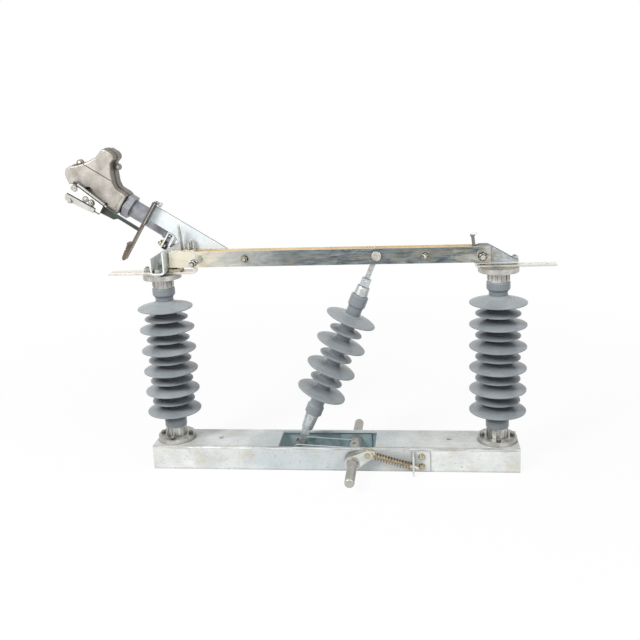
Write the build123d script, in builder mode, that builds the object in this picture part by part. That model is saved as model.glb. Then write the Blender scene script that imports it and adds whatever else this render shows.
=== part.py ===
"""Outdoor vertical-break disconnect switch, one pole, with a load interrupter.

Frame: origin at the centre of the base, on the plane it stands on.
X runs along the base from the jaw post (-X) to the hinge post (+X),
Y runs from the operating-spring side (-Y, front) to the back, Z is up.
All sizes are millimetres. The switch is modelled closed.
"""
from build123d import *
import os
from math import atan2, cos, hypot, radians, sin

# ---------------------------------------------------------------- base channel
BASE_L = 955.0  # length along X
BASE_W = 120.0  # width along Y
BASE_H = 64.0  # height
BASE_T = 5.0  # sheet thickness
BASE_BEND = 8.0  # outer bend radius
WINDOW_X0 = -139.0  # window for the crank, left edge
WINDOW_X1 = 114.0  # right edge
WINDOW_Y0 = -54.0  # front edge
WINDOW_Y1 = 44.0  # back edge
TIE_W = 50.0  # tie strap between the walls, at mid length
MOUNT_HOLE_R = 7.0  # fixing holes in the base top
MOUNT_HOLE_X = 303.0  # half the distance between them

# ---------------------------------------------------------------- post insulators
POST_X = 425.5  # each post stands this far from the centre
POST_H = 457.0  # flange face to flange face
FLANGE_R = 49.5
FLANGE_T = 12.0
FLANGE_PCD = 76.2
FLANGE_HOLE_R = 6.75
BARREL_R = 26.0  # cast barrel of an end fitting
BARREL_L = 25.5
COLLAR_R = 29.2  # moulded seal over the barrel
COLLAR_L = 22.5
CORE_R = 23.2
SHED_R = 71.0
SHED_SMALL_R = 56.0
SHED_FIRST = 82.7  # lowest rim above the post's foot
SHED_PITCH = 56.66  # large rim to large rim
SHED_COUNT = 6

# ---------------------------------------------------------------- blades
HINGE_X = 383.0  # main pivot
HINGE_Z = 556.0
BLADE_X0 = -397.5
BLADE_X1 = 405.0
BLADE_LEFT_Z = 538.5  # underside at the jaw end
BLADE_RIGHT_Z = 535.0  # underside at the hinge end
BLADE_H = 40.0
BLADE_T = 4.0
BLADE_IN = 14.5  # inner face of each blade from the middle plane
BLADE_PIN_X = 129.2  # push-rod pivot
BLADE_PIN_Z = 557.0
PIVOT_R = 6.0
SPACERS = ((-201.0, 557.7), (248.0, 554.8), (-320.0, 559.5))  # spacer bolts, X and Z
RUN = 0.05  # running clearance of a pin in its bore, on the radius

# ---------------------------------------------------------------- shaft and crank
SHAFT_X = 57.0
SHAFT_Z = 34.0
SHAFT_R = 12.5
SHAFT_Y0 = -BASE_W / 2 - 138.0
SHAFT_Y1 = BASE_W / 2 + 115.0
RING_GROOVES = (-BASE_W / 2 - 31.6, BASE_W / 2 + 3.0)  # near side of each retaining-ring groove
RING_GROOVE_W = 1.6
RING_GROOVE_D = 0.7
CRANK_PIN_X = -90.0
CRANK_PIN_Z = 43.0
CRANK_BAR_H = 28.0
CRANK_BAR_T = 5.0
CRANK_BAR_Y = 25.0  # middle of each bar from the middle plane
BOSS_R = 17.5

# ---------------------------------------------------------------- toggle spring
TOGGLE_Y = -BASE_W / 2 - 17.0  # plane of the spring
TOGGLE_PIN_X = 95.5
TOGGLE_PIN_Z = 55.8
SPRING_EYE_X = 211.0  # where the rod passes its bracket
SPRING_EYE_Z = 21.5
SPRING_ROD_R = 4.5
SPRING_R = 9.0  # middle of the wire
SPRING_WIRE_R = 1.5
SPRING_TURNS = 13

# ---------------------------------------------------------------- terminals
POST_TOP = BASE_H + POST_H
WORKS_TOP = 521.0  # heights of all that the posts carry are given for a post top here
LIFT = POST_TOP - WORKS_TOP  # and the finished works are raised by this
STRAP_T = 5.0
LEFT_STRAP_W = 40.0
RIGHT_STRAP_W = 28.0
PAD_HOLE_R = 6.5

# ---------------------------------------------------------------- interrupter
TILT = radians(33.0)  # rise of the interrupter above the horizontal
TUBE_Y = 70.0
TUBE_T = 294.5  # tube axis, across the tilted frame
TUBE_R = 23.4
TUBE_S0 = 682.0
TUBE_S1 = 800.0
HEX_FLATS = 58.0
HEAD_HALF = 33.0  # half the thickness of the head
TRIP_S = 945.0  # pivot of the trip lever
TRIP_T = 277.0


def side(y):
    """Upright plane at depth y: sketch x is X, sketch y is Z, extruding to the front."""
    return Plane(origin=(0, y, 0), x_dir=(1, 0, 0), z_dir=(0, -1, 0))


def cross(x):
    """Upright plane at x: sketch x is Y, sketch y is Z, extruding along +X."""
    return Plane(origin=(x, 0, 0), x_dir=(0, 1, 0), z_dir=(1, 0, 0))


def tilted(y):
    """Plane of the interrupter at depth y: sketch x runs up the tube, extruding to the back."""
    return Plane(origin=(0, y, 0), x_dir=(-cos(TILT), 0, sin(TILT)), z_dir=(0, 1, 0))


def tube_plane(s, t, y):
    """Plane square to the tube at s, with its middle at (s, t) and y."""
    x = -s * cos(TILT) + t * sin(TILT)
    z = s * sin(TILT) + t * cos(TILT)
    return Plane(origin=(x, y, z), x_dir=(0, 1, 0), z_dir=(-cos(TILT), 0, sin(TILT)))


def tilt_xz(s, t):
    """Tilted (s, t) as (X, Z)."""
    return (-s * cos(TILT) + t * sin(TILT), s * sin(TILT) + t * cos(TILT))


def strip(points, radius, thickness):
    """Closed outline of a bent strip: the outer path, and its copy inside by the thickness."""
    path = FilletPolyline(*points, radius=radius)
    offset(path, amount=thickness, side=Side.LEFT)
    return path


def save(piece, label, rise=0.0):
    """Write the piece to its own file, raised if the posts carry it."""
    placed = piece.part.moved(Location((0, 0, rise))) if rise else piece.part
    placed.label = label
    export_step(placed, "parts/" + label + ".step")


os.makedirs("parts", exist_ok=True)

# ================================================================ BASE
with BuildPart() as base:
    with BuildSketch(cross(-BASE_L / 2)):
        with BuildLine():
            FilletPolyline(
                (-BASE_W / 2, 0),
                (-BASE_W / 2, BASE_H),
                (BASE_W / 2, BASE_H),
                (BASE_W / 2, 0),
                radius=BASE_BEND,
            )
            Line((-BASE_W / 2, 0), (BASE_W / 2, 0))
        make_face()
    extrude(amount=BASE_L)
    with BuildSketch(cross(-BASE_L / 2 - 1)):
        with BuildLine():
            inner = BASE_W / 2 - BASE_T
            FilletPolyline(
                (-inner, -1),
                (-inner, BASE_H - BASE_T),
                (inner, BASE_H - BASE_T),
                (inner, -1),
                radius=BASE_BEND - BASE_T,
            )
            Line((-inner, -1), (inner, -1))
        make_face()
    extrude(amount=BASE_L + 2, mode=Mode.SUBTRACT)
    # tie strap across the open underside, under the window
    with BuildSketch(Plane.XY):
        Rectangle(TIE_W, BASE_W - BASE_T)
    extrude(amount=BASE_T)
    # window over the crank
    with BuildSketch(Plane.XY.offset(BASE_H - BASE_T - 1)):
        with Locations(((WINDOW_X0 + WINDOW_X1) / 2, (WINDOW_Y0 + WINDOW_Y1) / 2)):
            RectangleRounded(WINDOW_X1 - WINDOW_X0, WINDOW_Y1 - WINDOW_Y0, 5)
    extrude(amount=BASE_T + 2, mode=Mode.SUBTRACT)
    # fixing holes in the top, and four bolt holes under each post
    with BuildSketch(Plane.XY.offset(BASE_H - BASE_T - 1)):
        with Locations((-MOUNT_HOLE_X, 0), (MOUNT_HOLE_X, 0)):
            Circle(MOUNT_HOLE_R)
        for post in (-POST_X, POST_X):
            with Locations((post, 0)):
                with PolarLocations(FLANGE_PCD / 2, 4):
                    Circle(FLANGE_HOLE_R)
    extrude(amount=BASE_T + 2, mode=Mode.SUBTRACT)
    # clearance holes round the shaft in both walls
    with BuildSketch(side(BASE_W / 2 + 1)):
        with Locations((SHAFT_X, SHAFT_Z)):
            Circle(20)
    extrude(amount=BASE_W + 2, mode=Mode.SUBTRACT)
save(base, "base_channel")

# bearing plates welded inside the two walls, carrying the shaft
with BuildPart() as bearing_plates:
    for y in (-BASE_W / 2 + BASE_T + 5, BASE_W / 2 - BASE_T):
        with BuildSketch(side(y)):
            with Locations((SHAFT_X, SHAFT_Z - 2)):
                RectangleRounded(84, 46, 4)
            with Locations((SHAFT_X, SHAFT_Z)):
                Circle(SHAFT_R + RUN, mode=Mode.SUBTRACT)
        extrude(amount=5)
save(bearing_plates, "bearing_plates")


# ================================================================ POSTS
def shed_points(rim, rim_z, core, rise, under):
    """Half profile of one shed, going up: underside, rounded rim, sloping top."""
    return [
        (core, rim_z + under),
        (rim - 3, rim_z - 2),
        (rim, rim_z - 0.8),
        (rim, rim_z + 1.2),
        (rim - 3, rim_z + 2.6),
        (core + 9, rim_z + rise - 3.5),
        (core, rim_z + rise + 3),
    ]


def post_profile():
    """Half profile of a post housing, from its lower seal to its upper seal."""
    low = FLANGE_T + BARREL_L
    high = POST_H - FLANGE_T - BARREL_L
    pts = [
        (0, low),
        (COLLAR_R - 1.5, low),
        (COLLAR_R, low + 2),
        (COLLAR_R, low + COLLAR_L - 5),
        (COLLAR_R - 4, low + COLLAR_L),
        (CORE_R, low + COLLAR_L),
    ]
    for i in range(SHED_COUNT):
        rim_z = SHED_FIRST + i * SHED_PITCH
        pts += shed_points(SHED_R, rim_z, CORE_R, 16, 4)
        if i < SHED_COUNT - 1:
            pts += shed_points(SHED_SMALL_R, rim_z + SHED_PITCH / 2, CORE_R, 11.5, 3)
    pts += [
        (CORE_R, high - COLLAR_L),
        (COLLAR_R - 4, high - COLLAR_L),
        (COLLAR_R, high - COLLAR_L + 5),
        (COLLAR_R, high - 2),
        (COLLAR_R - 1.5, high),
        (0, high),
    ]
    return pts


for post_name, post_x in (("left", -POST_X), ("right", POST_X)):
    foot = Plane(origin=(post_x, 0, BASE_H), x_dir=(1, 0, 0), z_dir=(0, -1, 0))
    with BuildPart() as housing:
        with BuildSketch(foot):
            with BuildLine():
                Polyline(*post_profile(), close=True)
            make_face()
        revolve(axis=Axis((post_x, 0, 0), (0, 0, 1)))
    save(housing, post_name + "_post_housing")

    with BuildPart() as fittings:
        for z, way in ((BASE_H, 1), (POST_TOP, -1)):
            seat = Plane(origin=(post_x, 0, z), x_dir=(1, 0, 0), z_dir=(0, 0, way))
            with BuildSketch(seat):
                Circle(FLANGE_R)
                with PolarLocations(FLANGE_PCD / 2, 4):
                    Circle(FLANGE_HOLE_R, mode=Mode.SUBTRACT)
            extrude(amount=FLANGE_T)
            with BuildSketch(seat.offset(FLANGE_T)):
                Circle(BARREL_R)
            extrude(amount=BARREL_L)
            # cast ribs down the barrel
            with BuildSketch(seat.offset(FLANGE_T)):
                with PolarLocations(BARREL_R, 12, start_angle=15):
                    Rectangle(3.4, 3.2)
            extrude(amount=BARREL_L - 4)
    save(fittings, post_name + "_post_fittings")

# ================================================================ LEFT TERMINAL AND JAW
LEFT_PAD_X0 = -563.0
LEFT_PAD_X1 = -335.0
LIP_H = 10.0  # turned-up end of the left strap
JAW_X0 = -440.0
JAW_X1 = -403.0
JAW_Y0 = -49.0
JAW_Y1 = 97.0
JAW_T = 4.0
JAW_LEFT_TOP = 568.0
JAW_RIGHT_TOP = 584.0
LEG_BOLT_R = 4.25  # bolts through the interrupter's leg

with BuildPart() as left_strap:
    with BuildSketch(side(LEFT_STRAP_W / 2)):
        with BuildLine():
            Polyline(
                (LEFT_PAD_X0, WORKS_TOP),
                (LEFT_PAD_X1, WORKS_TOP),
                (LEFT_PAD_X1, WORKS_TOP + STRAP_T + LIP_H),
                (LEFT_PAD_X1 - 3, WORKS_TOP + STRAP_T + LIP_H),
                (LEFT_PAD_X1 - 3, WORKS_TOP + STRAP_T),
                (LEFT_PAD_X0, WORKS_TOP + STRAP_T),
                close=True,
            )
        make_face()
    extrude(amount=LEFT_STRAP_W)
    with BuildSketch(Plane.XY.offset(WORKS_TOP - 1)):
        with Locations((LEFT_PAD_X0 + 12, 0), (LEFT_PAD_X0 + 52, 0)):
            Circle(PAD_HOLE_R)
        with Locations((-POST_X - FLANGE_PCD / 2, 0), (-POST_X + FLANGE_PCD / 2, 0)):
            Circle(FLANGE_HOLE_R)
    extrude(amount=STRAP_T + 2, mode=Mode.SUBTRACT)
save(left_strap, "left_terminal_strap", LIFT)

JAW_FLOOR = WORKS_TOP + STRAP_T
with BuildPart() as jaw_bracket:
    with BuildSketch(side(JAW_Y1)):
        with BuildLine():
            strip(
                [
                    (JAW_X0, JAW_LEFT_TOP),
                    (JAW_X0, JAW_FLOOR),
                    (JAW_X1, JAW_FLOOR),
                    (JAW_X1, JAW_RIGHT_TOP),
                ],
                8,
                JAW_T,
            )
        make_face()
    extrude(amount=JAW_Y1 - JAW_Y0)
    with BuildSketch(Plane.XY.offset(JAW_FLOOR - 1)):
        with Locations((-POST_X, -FLANGE_PCD / 2), (-POST_X, FLANGE_PCD / 2)):
            Circle(FLANGE_HOLE_R)
    extrude(amount=JAW_T + 2, mode=Mode.SUBTRACT)
    with BuildSketch(cross(JAW_X1 - JAW_T - 1)):
        with Locations((40, 558), (60, 558)):
            Circle(LEG_BOLT_R)
    extrude(amount=JAW_T + 2, mode=Mode.SUBTRACT)
save(jaw_bracket, "jaw_bracket", LIFT)

# contact foot on the strap, and the fixed contact between the blades
REST_T = 8.0
CONTACT_X0 = -397.0
CONTACT_X1 = -334.0
CONTACT_TOP = 581.0
with BuildPart() as contact_foot:
    with BuildSketch(Plane.XY.offset(JAW_FLOOR)):
        with Locations((-386.5, 0)):
            Rectangle(31, 36)
        with Locations((-POST_X + FLANGE_PCD / 2, 0)):
            Circle(FLANGE_HOLE_R, mode=Mode.SUBTRACT)
    extrude(amount=REST_T)
save(contact_foot, "contact_foot", LIFT)

CONTACT_HALF = BLADE_IN - 0.3
with BuildPart() as jaw_contact:
    with BuildSketch(side(CONTACT_HALF)):
        with BuildLine():
            Polyline(
                (-379, JAW_FLOOR + REST_T),
                (-371.5, JAW_FLOOR + REST_T),
                (-371.5, 541),
                (CONTACT_X1, 541),
                (CONTACT_X1, CONTACT_TOP - 2),
                (CONTACT_X1 - 2, CONTACT_TOP),
                (CONTACT_X0 + 6, CONTACT_TOP),
                (CONTACT_X0, CONTACT_TOP - 6),
                (CONTACT_X0, 541),
                (-379, 541),
                close=True,
            )
        make_face()
    extrude(amount=2 * CONTACT_HALF)
save(jaw_contact, "jaw_contact", LIFT)

# arcing horn: an upright plate across the contact, tapering to its tip
with BuildPart() as arcing_horn:
    with BuildSketch(cross(-370)):
        with BuildLine():
            Polyline(
                (-12, CONTACT_TOP),
                (-12, 644),
                (-9, 648),
                (-5, 645),
                (5, 622),
                (12, 597),
                (12, CONTACT_TOP),
                close=True,
            )
        make_face()
    extrude(amount=4)
save(arcing_horn, "arcing_horn", LIFT)

# stop plate and spring clip on the contact
with BuildPart() as stop_plate:
    with BuildSketch(side(2)):
        with BuildLine():
            Polyline((-349, CONTACT_TOP), (-349, 600), (-344.5, 600), (-344.5, CONTACT_TOP), close=True)
        make_face()
    extrude(amount=12)
save(stop_plate, "contact_stop_plate", LIFT)

with BuildPart() as spring_clip:
    with BuildSketch(side(11)):
        with BuildLine():
            strip(
                [
                    (-335, CONTACT_TOP),
                    (-335, 606),
                    (-343.5, 606),
                    (-343.5, CONTACT_TOP),
                ],
                4,
                2,
            )
        make_face()
    extrude(amount=7)
save(spring_clip, "spring_clip", LIFT)

# ================================================================ INTERRUPTER
BRACKET_Y0 = 27.0
BRACKET_Y1 = 97.0
PLATE_T = 4.0
BOX_Y1 = 72.0
BOX_S0 = TUBE_S0 - 22
BOX_T0 = 250.5
BOX_T1 = 302.0
leg_x = JAW_X1 - JAW_T - PLATE_T  # the leg stands against the jaw bracket's wall
with BuildPart() as interrupter_bracket:
    # bolting box behind the plate that carries the tube
    box_middle = ((BOX_S0 + TUBE_S0) / 2, (BOX_T0 + BOX_T1) / 2)
    with BuildSketch(tilted(BRACKET_Y0)):
        with Locations(box_middle):
            Rectangle(TUBE_S0 - BOX_S0, BOX_T1 - BOX_T0)
            Rectangle(
                TUBE_S0 - BOX_S0 - 2 * PLATE_T, BOX_T1 - BOX_T0 - 2 * PLATE_T, mode=Mode.SUBTRACT
            )
    extrude(amount=BOX_Y1 - BRACKET_Y0)
    with BuildSketch(tilted(BRACKET_Y0)):
        with BuildLine():
            Polyline(
                (TUBE_S0 - PLATE_T, BOX_T0),
                (TUBE_S0, BOX_T0),
                (TUBE_S0, 318),
                (TUBE_S0 - PLATE_T, 318),
                close=True,
            )
        make_face()
    extrude(amount=BRACKET_Y1 - BRACKET_Y0)
    # leg down into the jaw bracket, bolted through its wall
    with BuildSketch(side(BOX_Y1)):
        with BuildLine():
            Polyline(
                (leg_x, 582),
                (leg_x, 538),
                (leg_x + PLATE_T, 538),
                (leg_x + PLATE_T, 588),
                close=True,
            )
        make_face()
    extrude(amount=BOX_Y1 - BRACKET_Y0)
    with BuildSketch(cross(leg_x - 1)):
        with Locations((40, 558), (60, 558)):
            Circle(LEG_BOLT_R)
    extrude(amount=PLATE_T + 2, mode=Mode.SUBTRACT)
save(interrupter_bracket, "interrupter_bracket", LIFT)

with BuildPart() as tube:
    with BuildSketch(tube_plane(TUBE_S0, TUBE_T, TUBE_Y)):
        Circle(TUBE_R + 2.6)
    extrude(amount=13)
    with BuildSketch(tube_plane(TUBE_S0 + 13, TUBE_T, TUBE_Y)):
        Circle(TUBE_R)
    extrude(amount=TUBE_S1 - TUBE_S0 - 13)
save(tube, "interrupter_tube", LIFT)

with BuildPart() as hexagon:
    with BuildSketch(tube_plane(TUBE_S1, TUBE_T, TUBE_Y)):
        RegularPolygon(HEX_FLATS / 2, 6, major_radius=False, rotation=0)
    extrude(amount=19.8)
save(hexagon, "interrupter_collar", LIFT)

HEAD_OUTLINE = [
    (822, 267),
    (822, 321),
    (833, 324),
    (857, 324.5),
    (869, 333),
    (884, 352),
    (897, 374),
    (894, 389),
    (899, 397),
    (908, 400.5),
    (926, 400.5),
    (934, 395),
    (939, 368),
    (956, 343),
    (975, 323),
    (988, 314),
    (995, 300),
    (990, 286),
    (966, 268),
]
HEAD_LUGS = ((884.5, 369.5), (977, 327), (832, 272))
for half_name, way in (("front", -1), ("rear", 1)):
    parting = Plane(origin=(0, TUBE_Y, 0), x_dir=(-cos(TILT), 0, sin(TILT)), z_dir=(0, 1, 0))
    with BuildPart() as head:
        with BuildSketch(parting):
            with BuildLine():
                Polyline(*HEAD_OUTLINE, close=True)
            make_face()
            fillet(vertices(), radius=4)
        extrude(amount=way * HEAD_HALF)
        outer = faces().filter_by(Axis.Y).sort_by(Axis.Y)[-1 if way > 0 else 0]
        fillet(outer.edges(), radius=5)
        # parting flange with screw lugs
        with BuildSketch(parting):
            with BuildLine():
                Polyline(*HEAD_OUTLINE, close=True)
            make_face()
            fillet(vertices(), radius=4)
            offset(amount=2.2)
            with Locations(*HEAD_LUGS):
                Circle(9)
        extrude(amount=way * 5)
        with BuildSketch(parting):
            with Locations(HEAD_LUGS[0], HEAD_LUGS[1]):
                Circle(3.2)
        extrude(amount=way * 5.5, mode=Mode.SUBTRACT)
        if way < 0:
            # scalloped relief along the lower edge, behind the trip lever
            with BuildSketch(tilted(TUBE_Y - HEAD_HALF - 1)):
                with BuildLine():
                    Polyline(
                        (856, 262),
                        (856, 274),
                        (880, 279),
                        (904, 288),
                        (918, 294),
                        (927, 288),
                        (930, 262),
                        close=True,
                    )
                make_face()
                fillet(vertices().sort_by(Axis.Z)[-3:], radius=3)
            extrude(amount=14, mode=Mode.SUBTRACT)
            with BuildSketch(tilted(TUBE_Y - HEAD_HALF)):
                with Locations((TRIP_S, TRIP_T)):
                    Circle(PIVOT_R - 1 + RUN)
            extrude(amount=18, mode=Mode.SUBTRACT)
            # crease across the face, port beside the lever, two moulded pips at the neck
            with BuildSketch(tilted(TUBE_Y - HEAD_HALF - 1)):
                with Locations((919, 336.8)):
                    Rectangle(90, 2.4)
            extrude(amount=3.2, mode=Mode.SUBTRACT)
            with BuildSketch(tilted(TUBE_Y - HEAD_HALF - 1)):
                with Locations((860, 276)):
                    Circle(4.6)
            extrude(amount=24, mode=Mode.SUBTRACT)
            with BuildSketch(tilted(TUBE_Y - HEAD_HALF - 1.6)):
                with Locations((833, 312), (833, 278)):
                    Circle(2.8)
            extrude(amount=3)
    save(head, "interrupter_head_" + half_name, LIFT)

# ---- external trip lever: bar, block and strap on one pivot
LEVER_Y0 = 26.0
LEVER_Y1 = 31.0
BLOCK_Y0 = 13.0
STRAP_Y0 = 9.0
with BuildPart() as lever_bar:
    with BuildSketch(tilted(LEVER_Y0)):
        with BuildLine():
            Polyline(
                (743, 261),
                (812, 262),
                (821, 254),
                (862, 251),
                (957, 266),
                (957, 288),
                (940, 290),
                (862, 271),
                (743, 269.5),
                close=True,
            )
        make_face()
        fillet(vertices().sort_by(Axis.X)[:2], radius=4)
        with Locations((TRIP_S, TRIP_T)):
            Circle(PIVOT_R - 1, mode=Mode.SUBTRACT)
    extrude(amount=LEVER_Y1 - LEVER_Y0)
save(lever_bar, "trip_lever_bar", LIFT)

with BuildPart() as trip_block:
    with BuildSketch(tilted(BLOCK_Y0)):
        with BuildLine():
            Polyline((858, 252), (957, 250), (959, 279), (951, 284), (936, 284), (858, 275), close=True)
        make_face()
        with Locations((TRIP_S, TRIP_T)):
            Circle(PIVOT_R - 1, mode=Mode.SUBTRACT)
    extrude(amount=LEVER_Y0 - BLOCK_Y0)
save(trip_block, "trip_block", LIFT)

with BuildPart() as trip_strap:
    with BuildSketch(tilted(STRAP_Y0)):
        with BuildLine():
            Polyline((872, 246), (950, 238), (955, 243), (955, 255), (872, 258), close=True)
        make_face()
    extrude(amount=BLOCK_Y0 - STRAP_Y0)
save(trip_strap, "trip_strap", LIFT)

with BuildPart() as trip_pivot:
    with BuildSketch(tilted(BLOCK_Y0)):
        with Locations((TRIP_S, TRIP_T)):
            Circle(PIVOT_R - 1)
    extrude(amount=TUBE_Y - HEAD_HALF + 16 - BLOCK_Y0)
    with BuildSketch(tilted(BLOCK_Y0 - 5)):
        with Locations((TRIP_S, TRIP_T)):
            Circle(8)
    extrude(amount=5)
save(trip_pivot, "trip_pivot_pin", LIFT)

# ================================================================ RIGHT TERMINAL AND HINGE
RIGHT_PAD_X1 = 563.0
FOLD_X = 375.0  # centre of the fold
FOLD_GAP = 4.0
UPPER_X1 = 472.0
EAR_Y = RIGHT_STRAP_W / 2
EAR_T = 4.0
EAR_R = 21.0
FOLD_R = STRAP_T + FOLD_GAP / 2
with BuildPart() as right_strap:
    with BuildSketch(side(RIGHT_STRAP_W / 2)):
        with BuildLine():
            Polyline(
                (FOLD_X, WORKS_TOP),
                (RIGHT_PAD_X1, WORKS_TOP),
                (RIGHT_PAD_X1, WORKS_TOP + STRAP_T),
                (FOLD_X, WORKS_TOP + STRAP_T),
            )
            ThreePointArc(
                (FOLD_X, WORKS_TOP + STRAP_T),
                (FOLD_X - FOLD_GAP / 2, WORKS_TOP + FOLD_R),
                (FOLD_X, WORKS_TOP + STRAP_T + FOLD_GAP),
            )
            Polyline(
                (FOLD_X, WORKS_TOP + STRAP_T + FOLD_GAP),
                (UPPER_X1, WORKS_TOP + STRAP_T + FOLD_GAP),
                (UPPER_X1, WORKS_TOP + 2 * FOLD_R),
                (FOLD_X, WORKS_TOP + 2 * FOLD_R),
            )
            ThreePointArc(
                (FOLD_X, WORKS_TOP + 2 * FOLD_R),
                (FOLD_X - FOLD_R, WORKS_TOP + FOLD_R),
                (FOLD_X, WORKS_TOP),
            )
        make_face()
    extrude(amount=RIGHT_STRAP_W)
    with BuildSketch(Plane.XY.offset(WORKS_TOP - 1)):
        with Locations((RIGHT_PAD_X1 - 62, 0), (RIGHT_PAD_X1 - 21, 0)):
            Circle(PAD_HOLE_R)
        with Locations((POST_X - FLANGE_PCD / 2, 0), (POST_X + FLANGE_PCD / 2, 0)):
            Circle(FLANGE_HOLE_R)
    extrude(amount=2 * FOLD_R + 2, mode=Mode.SUBTRACT)
save(right_strap, "right_terminal_strap", LIFT)

HINGE_FLOOR = WORKS_TOP + 2 * FOLD_R
with BuildPart() as hinge_bracket:
    with BuildSketch(Plane.XY.offset(HINGE_FLOOR)):
        with Locations(((FOLD_X + UPPER_X1) / 2, 0)):
            Rectangle(UPPER_X1 - FOLD_X, RIGHT_STRAP_W)
        with Locations((POST_X - FLANGE_PCD / 2, 0), (POST_X + FLANGE_PCD / 2, 0)):
            Circle(FLANGE_HOLE_R, mode=Mode.SUBTRACT)
    extrude(amount=4)
    for y in (EAR_Y, -EAR_Y + EAR_T):
        with BuildSketch(side(y)):
            with BuildLine():
                Polyline(
                    (HINGE_X - 8, HINGE_FLOOR),
                    (UPPER_X1, HINGE_FLOOR),
                    (UPPER_X1, HINGE_FLOOR + 3),
                    (UPPER_X1 - 9, HINGE_FLOOR + 5),
                    (HINGE_X + 19, HINGE_Z + EAR_R - 1),
                    (HINGE_X + 15, HINGE_Z + EAR_R),
                    (HINGE_X, HINGE_Z + EAR_R),
                    (HINGE_X, HINGE_Z),
                    (HINGE_X - EAR_R, HINGE_Z),
                    (HINGE_X - EAR_R, HINGE_Z - 4),
                    close=True,
                )
            make_face()
            with Locations((HINGE_X, HINGE_Z)):
                Circle(EAR_R)
                Circle(PIVOT_R, mode=Mode.SUBTRACT)
        extrude(amount=EAR_T)
save(hinge_bracket, "hinge_bracket", LIFT)

with BuildPart() as hinge_pin:
    with BuildSketch(side(30)):
        with Locations((HINGE_X, HINGE_Z)):
            Circle(PIVOT_R)
    extrude(amount=94)
save(hinge_pin, "hinge_pin", LIFT)

# leaning stop between the blades, on a bridge between the two ears
with BuildPart() as blade_stop:
    with BuildSketch(Plane.XY.offset(561)):
        with Locations((368.5, 0)):
            Rectangle(10, 2 * (EAR_Y - EAR_T))
    extrude(amount=9)
    stop_foot = Plane(origin=(366.8, 0, 569), x_dir=(0, 1, 0), z_dir=(-0.12, 0, 1))
    with BuildSketch(stop_foot):
        Circle(4)
    extrude(amount=29)
    with BuildSketch(stop_foot.offset(28.5)):
        Circle(6)
    extrude(amount=4)
save(blade_stop, "blade_stop", LIFT)

# ================================================================ BLADES
for blade_name, y_back in (("front", -BLADE_IN), ("rear", BLADE_IN + BLADE_T)):
    with BuildPart() as blade:
        with BuildSketch(side(y_back)):
            with BuildLine():
                Polyline(
                    (BLADE_X0, BLADE_LEFT_Z),
                    (BLADE_X1, BLADE_RIGHT_Z),
                    (BLADE_X1, BLADE_RIGHT_Z + BLADE_H - 1),
                    (BLADE_X0, BLADE_LEFT_Z + BLADE_H),
                    close=True,
                )
            make_face()
            fillet(vertices(), radius=1.5)
            with Locations((HINGE_X, HINGE_Z)):
                Circle(PIVOT_R + RUN, mode=Mode.SUBTRACT)
            with Locations((BLADE_PIN_X, BLADE_PIN_Z)):
                Circle(PIVOT_R, mode=Mode.SUBTRACT)
            with Locations(*SPACERS):
                Circle(4, mode=Mode.SUBTRACT)
            # filed marks on the top edge
            with Locations((-295, BLADE_LEFT_Z + BLADE_H), (-256, BLADE_LEFT_Z + BLADE_H)):
                Circle(2.2, mode=Mode.SUBTRACT)
        extrude(amount=BLADE_T)
    save(blade, blade_name + "_blade", LIFT)

with BuildPart() as spacers:
    with BuildSketch(side(BLADE_IN)):
        with Locations(*SPACERS):
            Circle(8)
            Circle(4, mode=Mode.SUBTRACT)
    extrude(amount=2 * BLADE_IN)
save(spacers, "blade_spacers", LIFT)

with BuildPart() as blade_pin:
    with BuildSketch(side(27)):
        with Locations((BLADE_PIN_X, BLADE_PIN_Z)):
            Circle(PIVOT_R)
    extrude(amount=27 + BLADE_IN + BLADE_T)
    with BuildSketch(side(-BLADE_IN - BLADE_T)):
        with Locations((BLADE_PIN_X, BLADE_PIN_Z)):
            Circle(12.3)
    extrude(amount=6)
    fillet(faces().sort_by(Axis.Y)[0].edges(), radius=1.5)
save(blade_pin, "blade_pin", LIFT)

with BuildPart() as pull_stud:
    with BuildSketch(side(-BLADE_IN - BLADE_T)):
        with Locations(SPACERS[2]):
            Circle(9)
    extrude(amount=40)
    with BuildSketch(side(-BLADE_IN - BLADE_T - 40)):
        with Locations(SPACERS[2]):
            Circle(5)
    extrude(amount=32)
save(pull_stud, "pull_stud", LIFT)

# plate that carries the trip bar, on the back of the rear blade
GUSSET_Y = BLADE_IN + BLADE_T
GUSSET_T = 3.0
BAR_S = 741.0
with BuildPart() as gusset:
    with BuildSketch(side(GUSSET_Y + GUSSET_T)):
        with BuildLine():
            Polyline(
                tilt_xz(BAR_S, 347),
                (-251, 578),
                (-258, 546),
                (-374, 546),
                (-376, 585),
                tilt_xz(662, 303.7),
                tilt_xz(BAR_S, 303.7),
                close=True,
            )
        make_face()
    extrude(amount=GUSSET_T)
    # flange bent to the front
    with BuildSketch(tilted(-4)):
        with BuildLine():
            Polyline(
                (BAR_S - 3, 292),
                (BAR_S - 3, 357),
                (BAR_S, 357),
                (BAR_S, 292),
                close=True,
            )
        make_face()
    extrude(amount=GUSSET_Y + GUSSET_T + 4)
save(gusset, "trip_gusset", LIFT)

with BuildPart() as trip_bar:
    with BuildSketch(tilted(-4)):
        with BuildLine():
            Polyline(
                (BAR_S, 357),
                (BAR_S + 5, 357),
                (BAR_S + 5, 231),
                (BAR_S + 15, 229),
                (BAR_S + 15, 226),
                (BAR_S + 12, 223),
                (BAR_S + 14, 220),
                (BAR_S + 11, 217),
                (BAR_S + 13, 214),
                (BAR_S + 10, 211),
                (BAR_S + 12, 208),
                (BAR_S + 9, 186),
                (BAR_S + 4, 181),
                (BAR_S, 184),
                close=True,
            )
        make_face()
    extrude(amount=25)
save(trip_bar, "trip_bar", LIFT)

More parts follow.
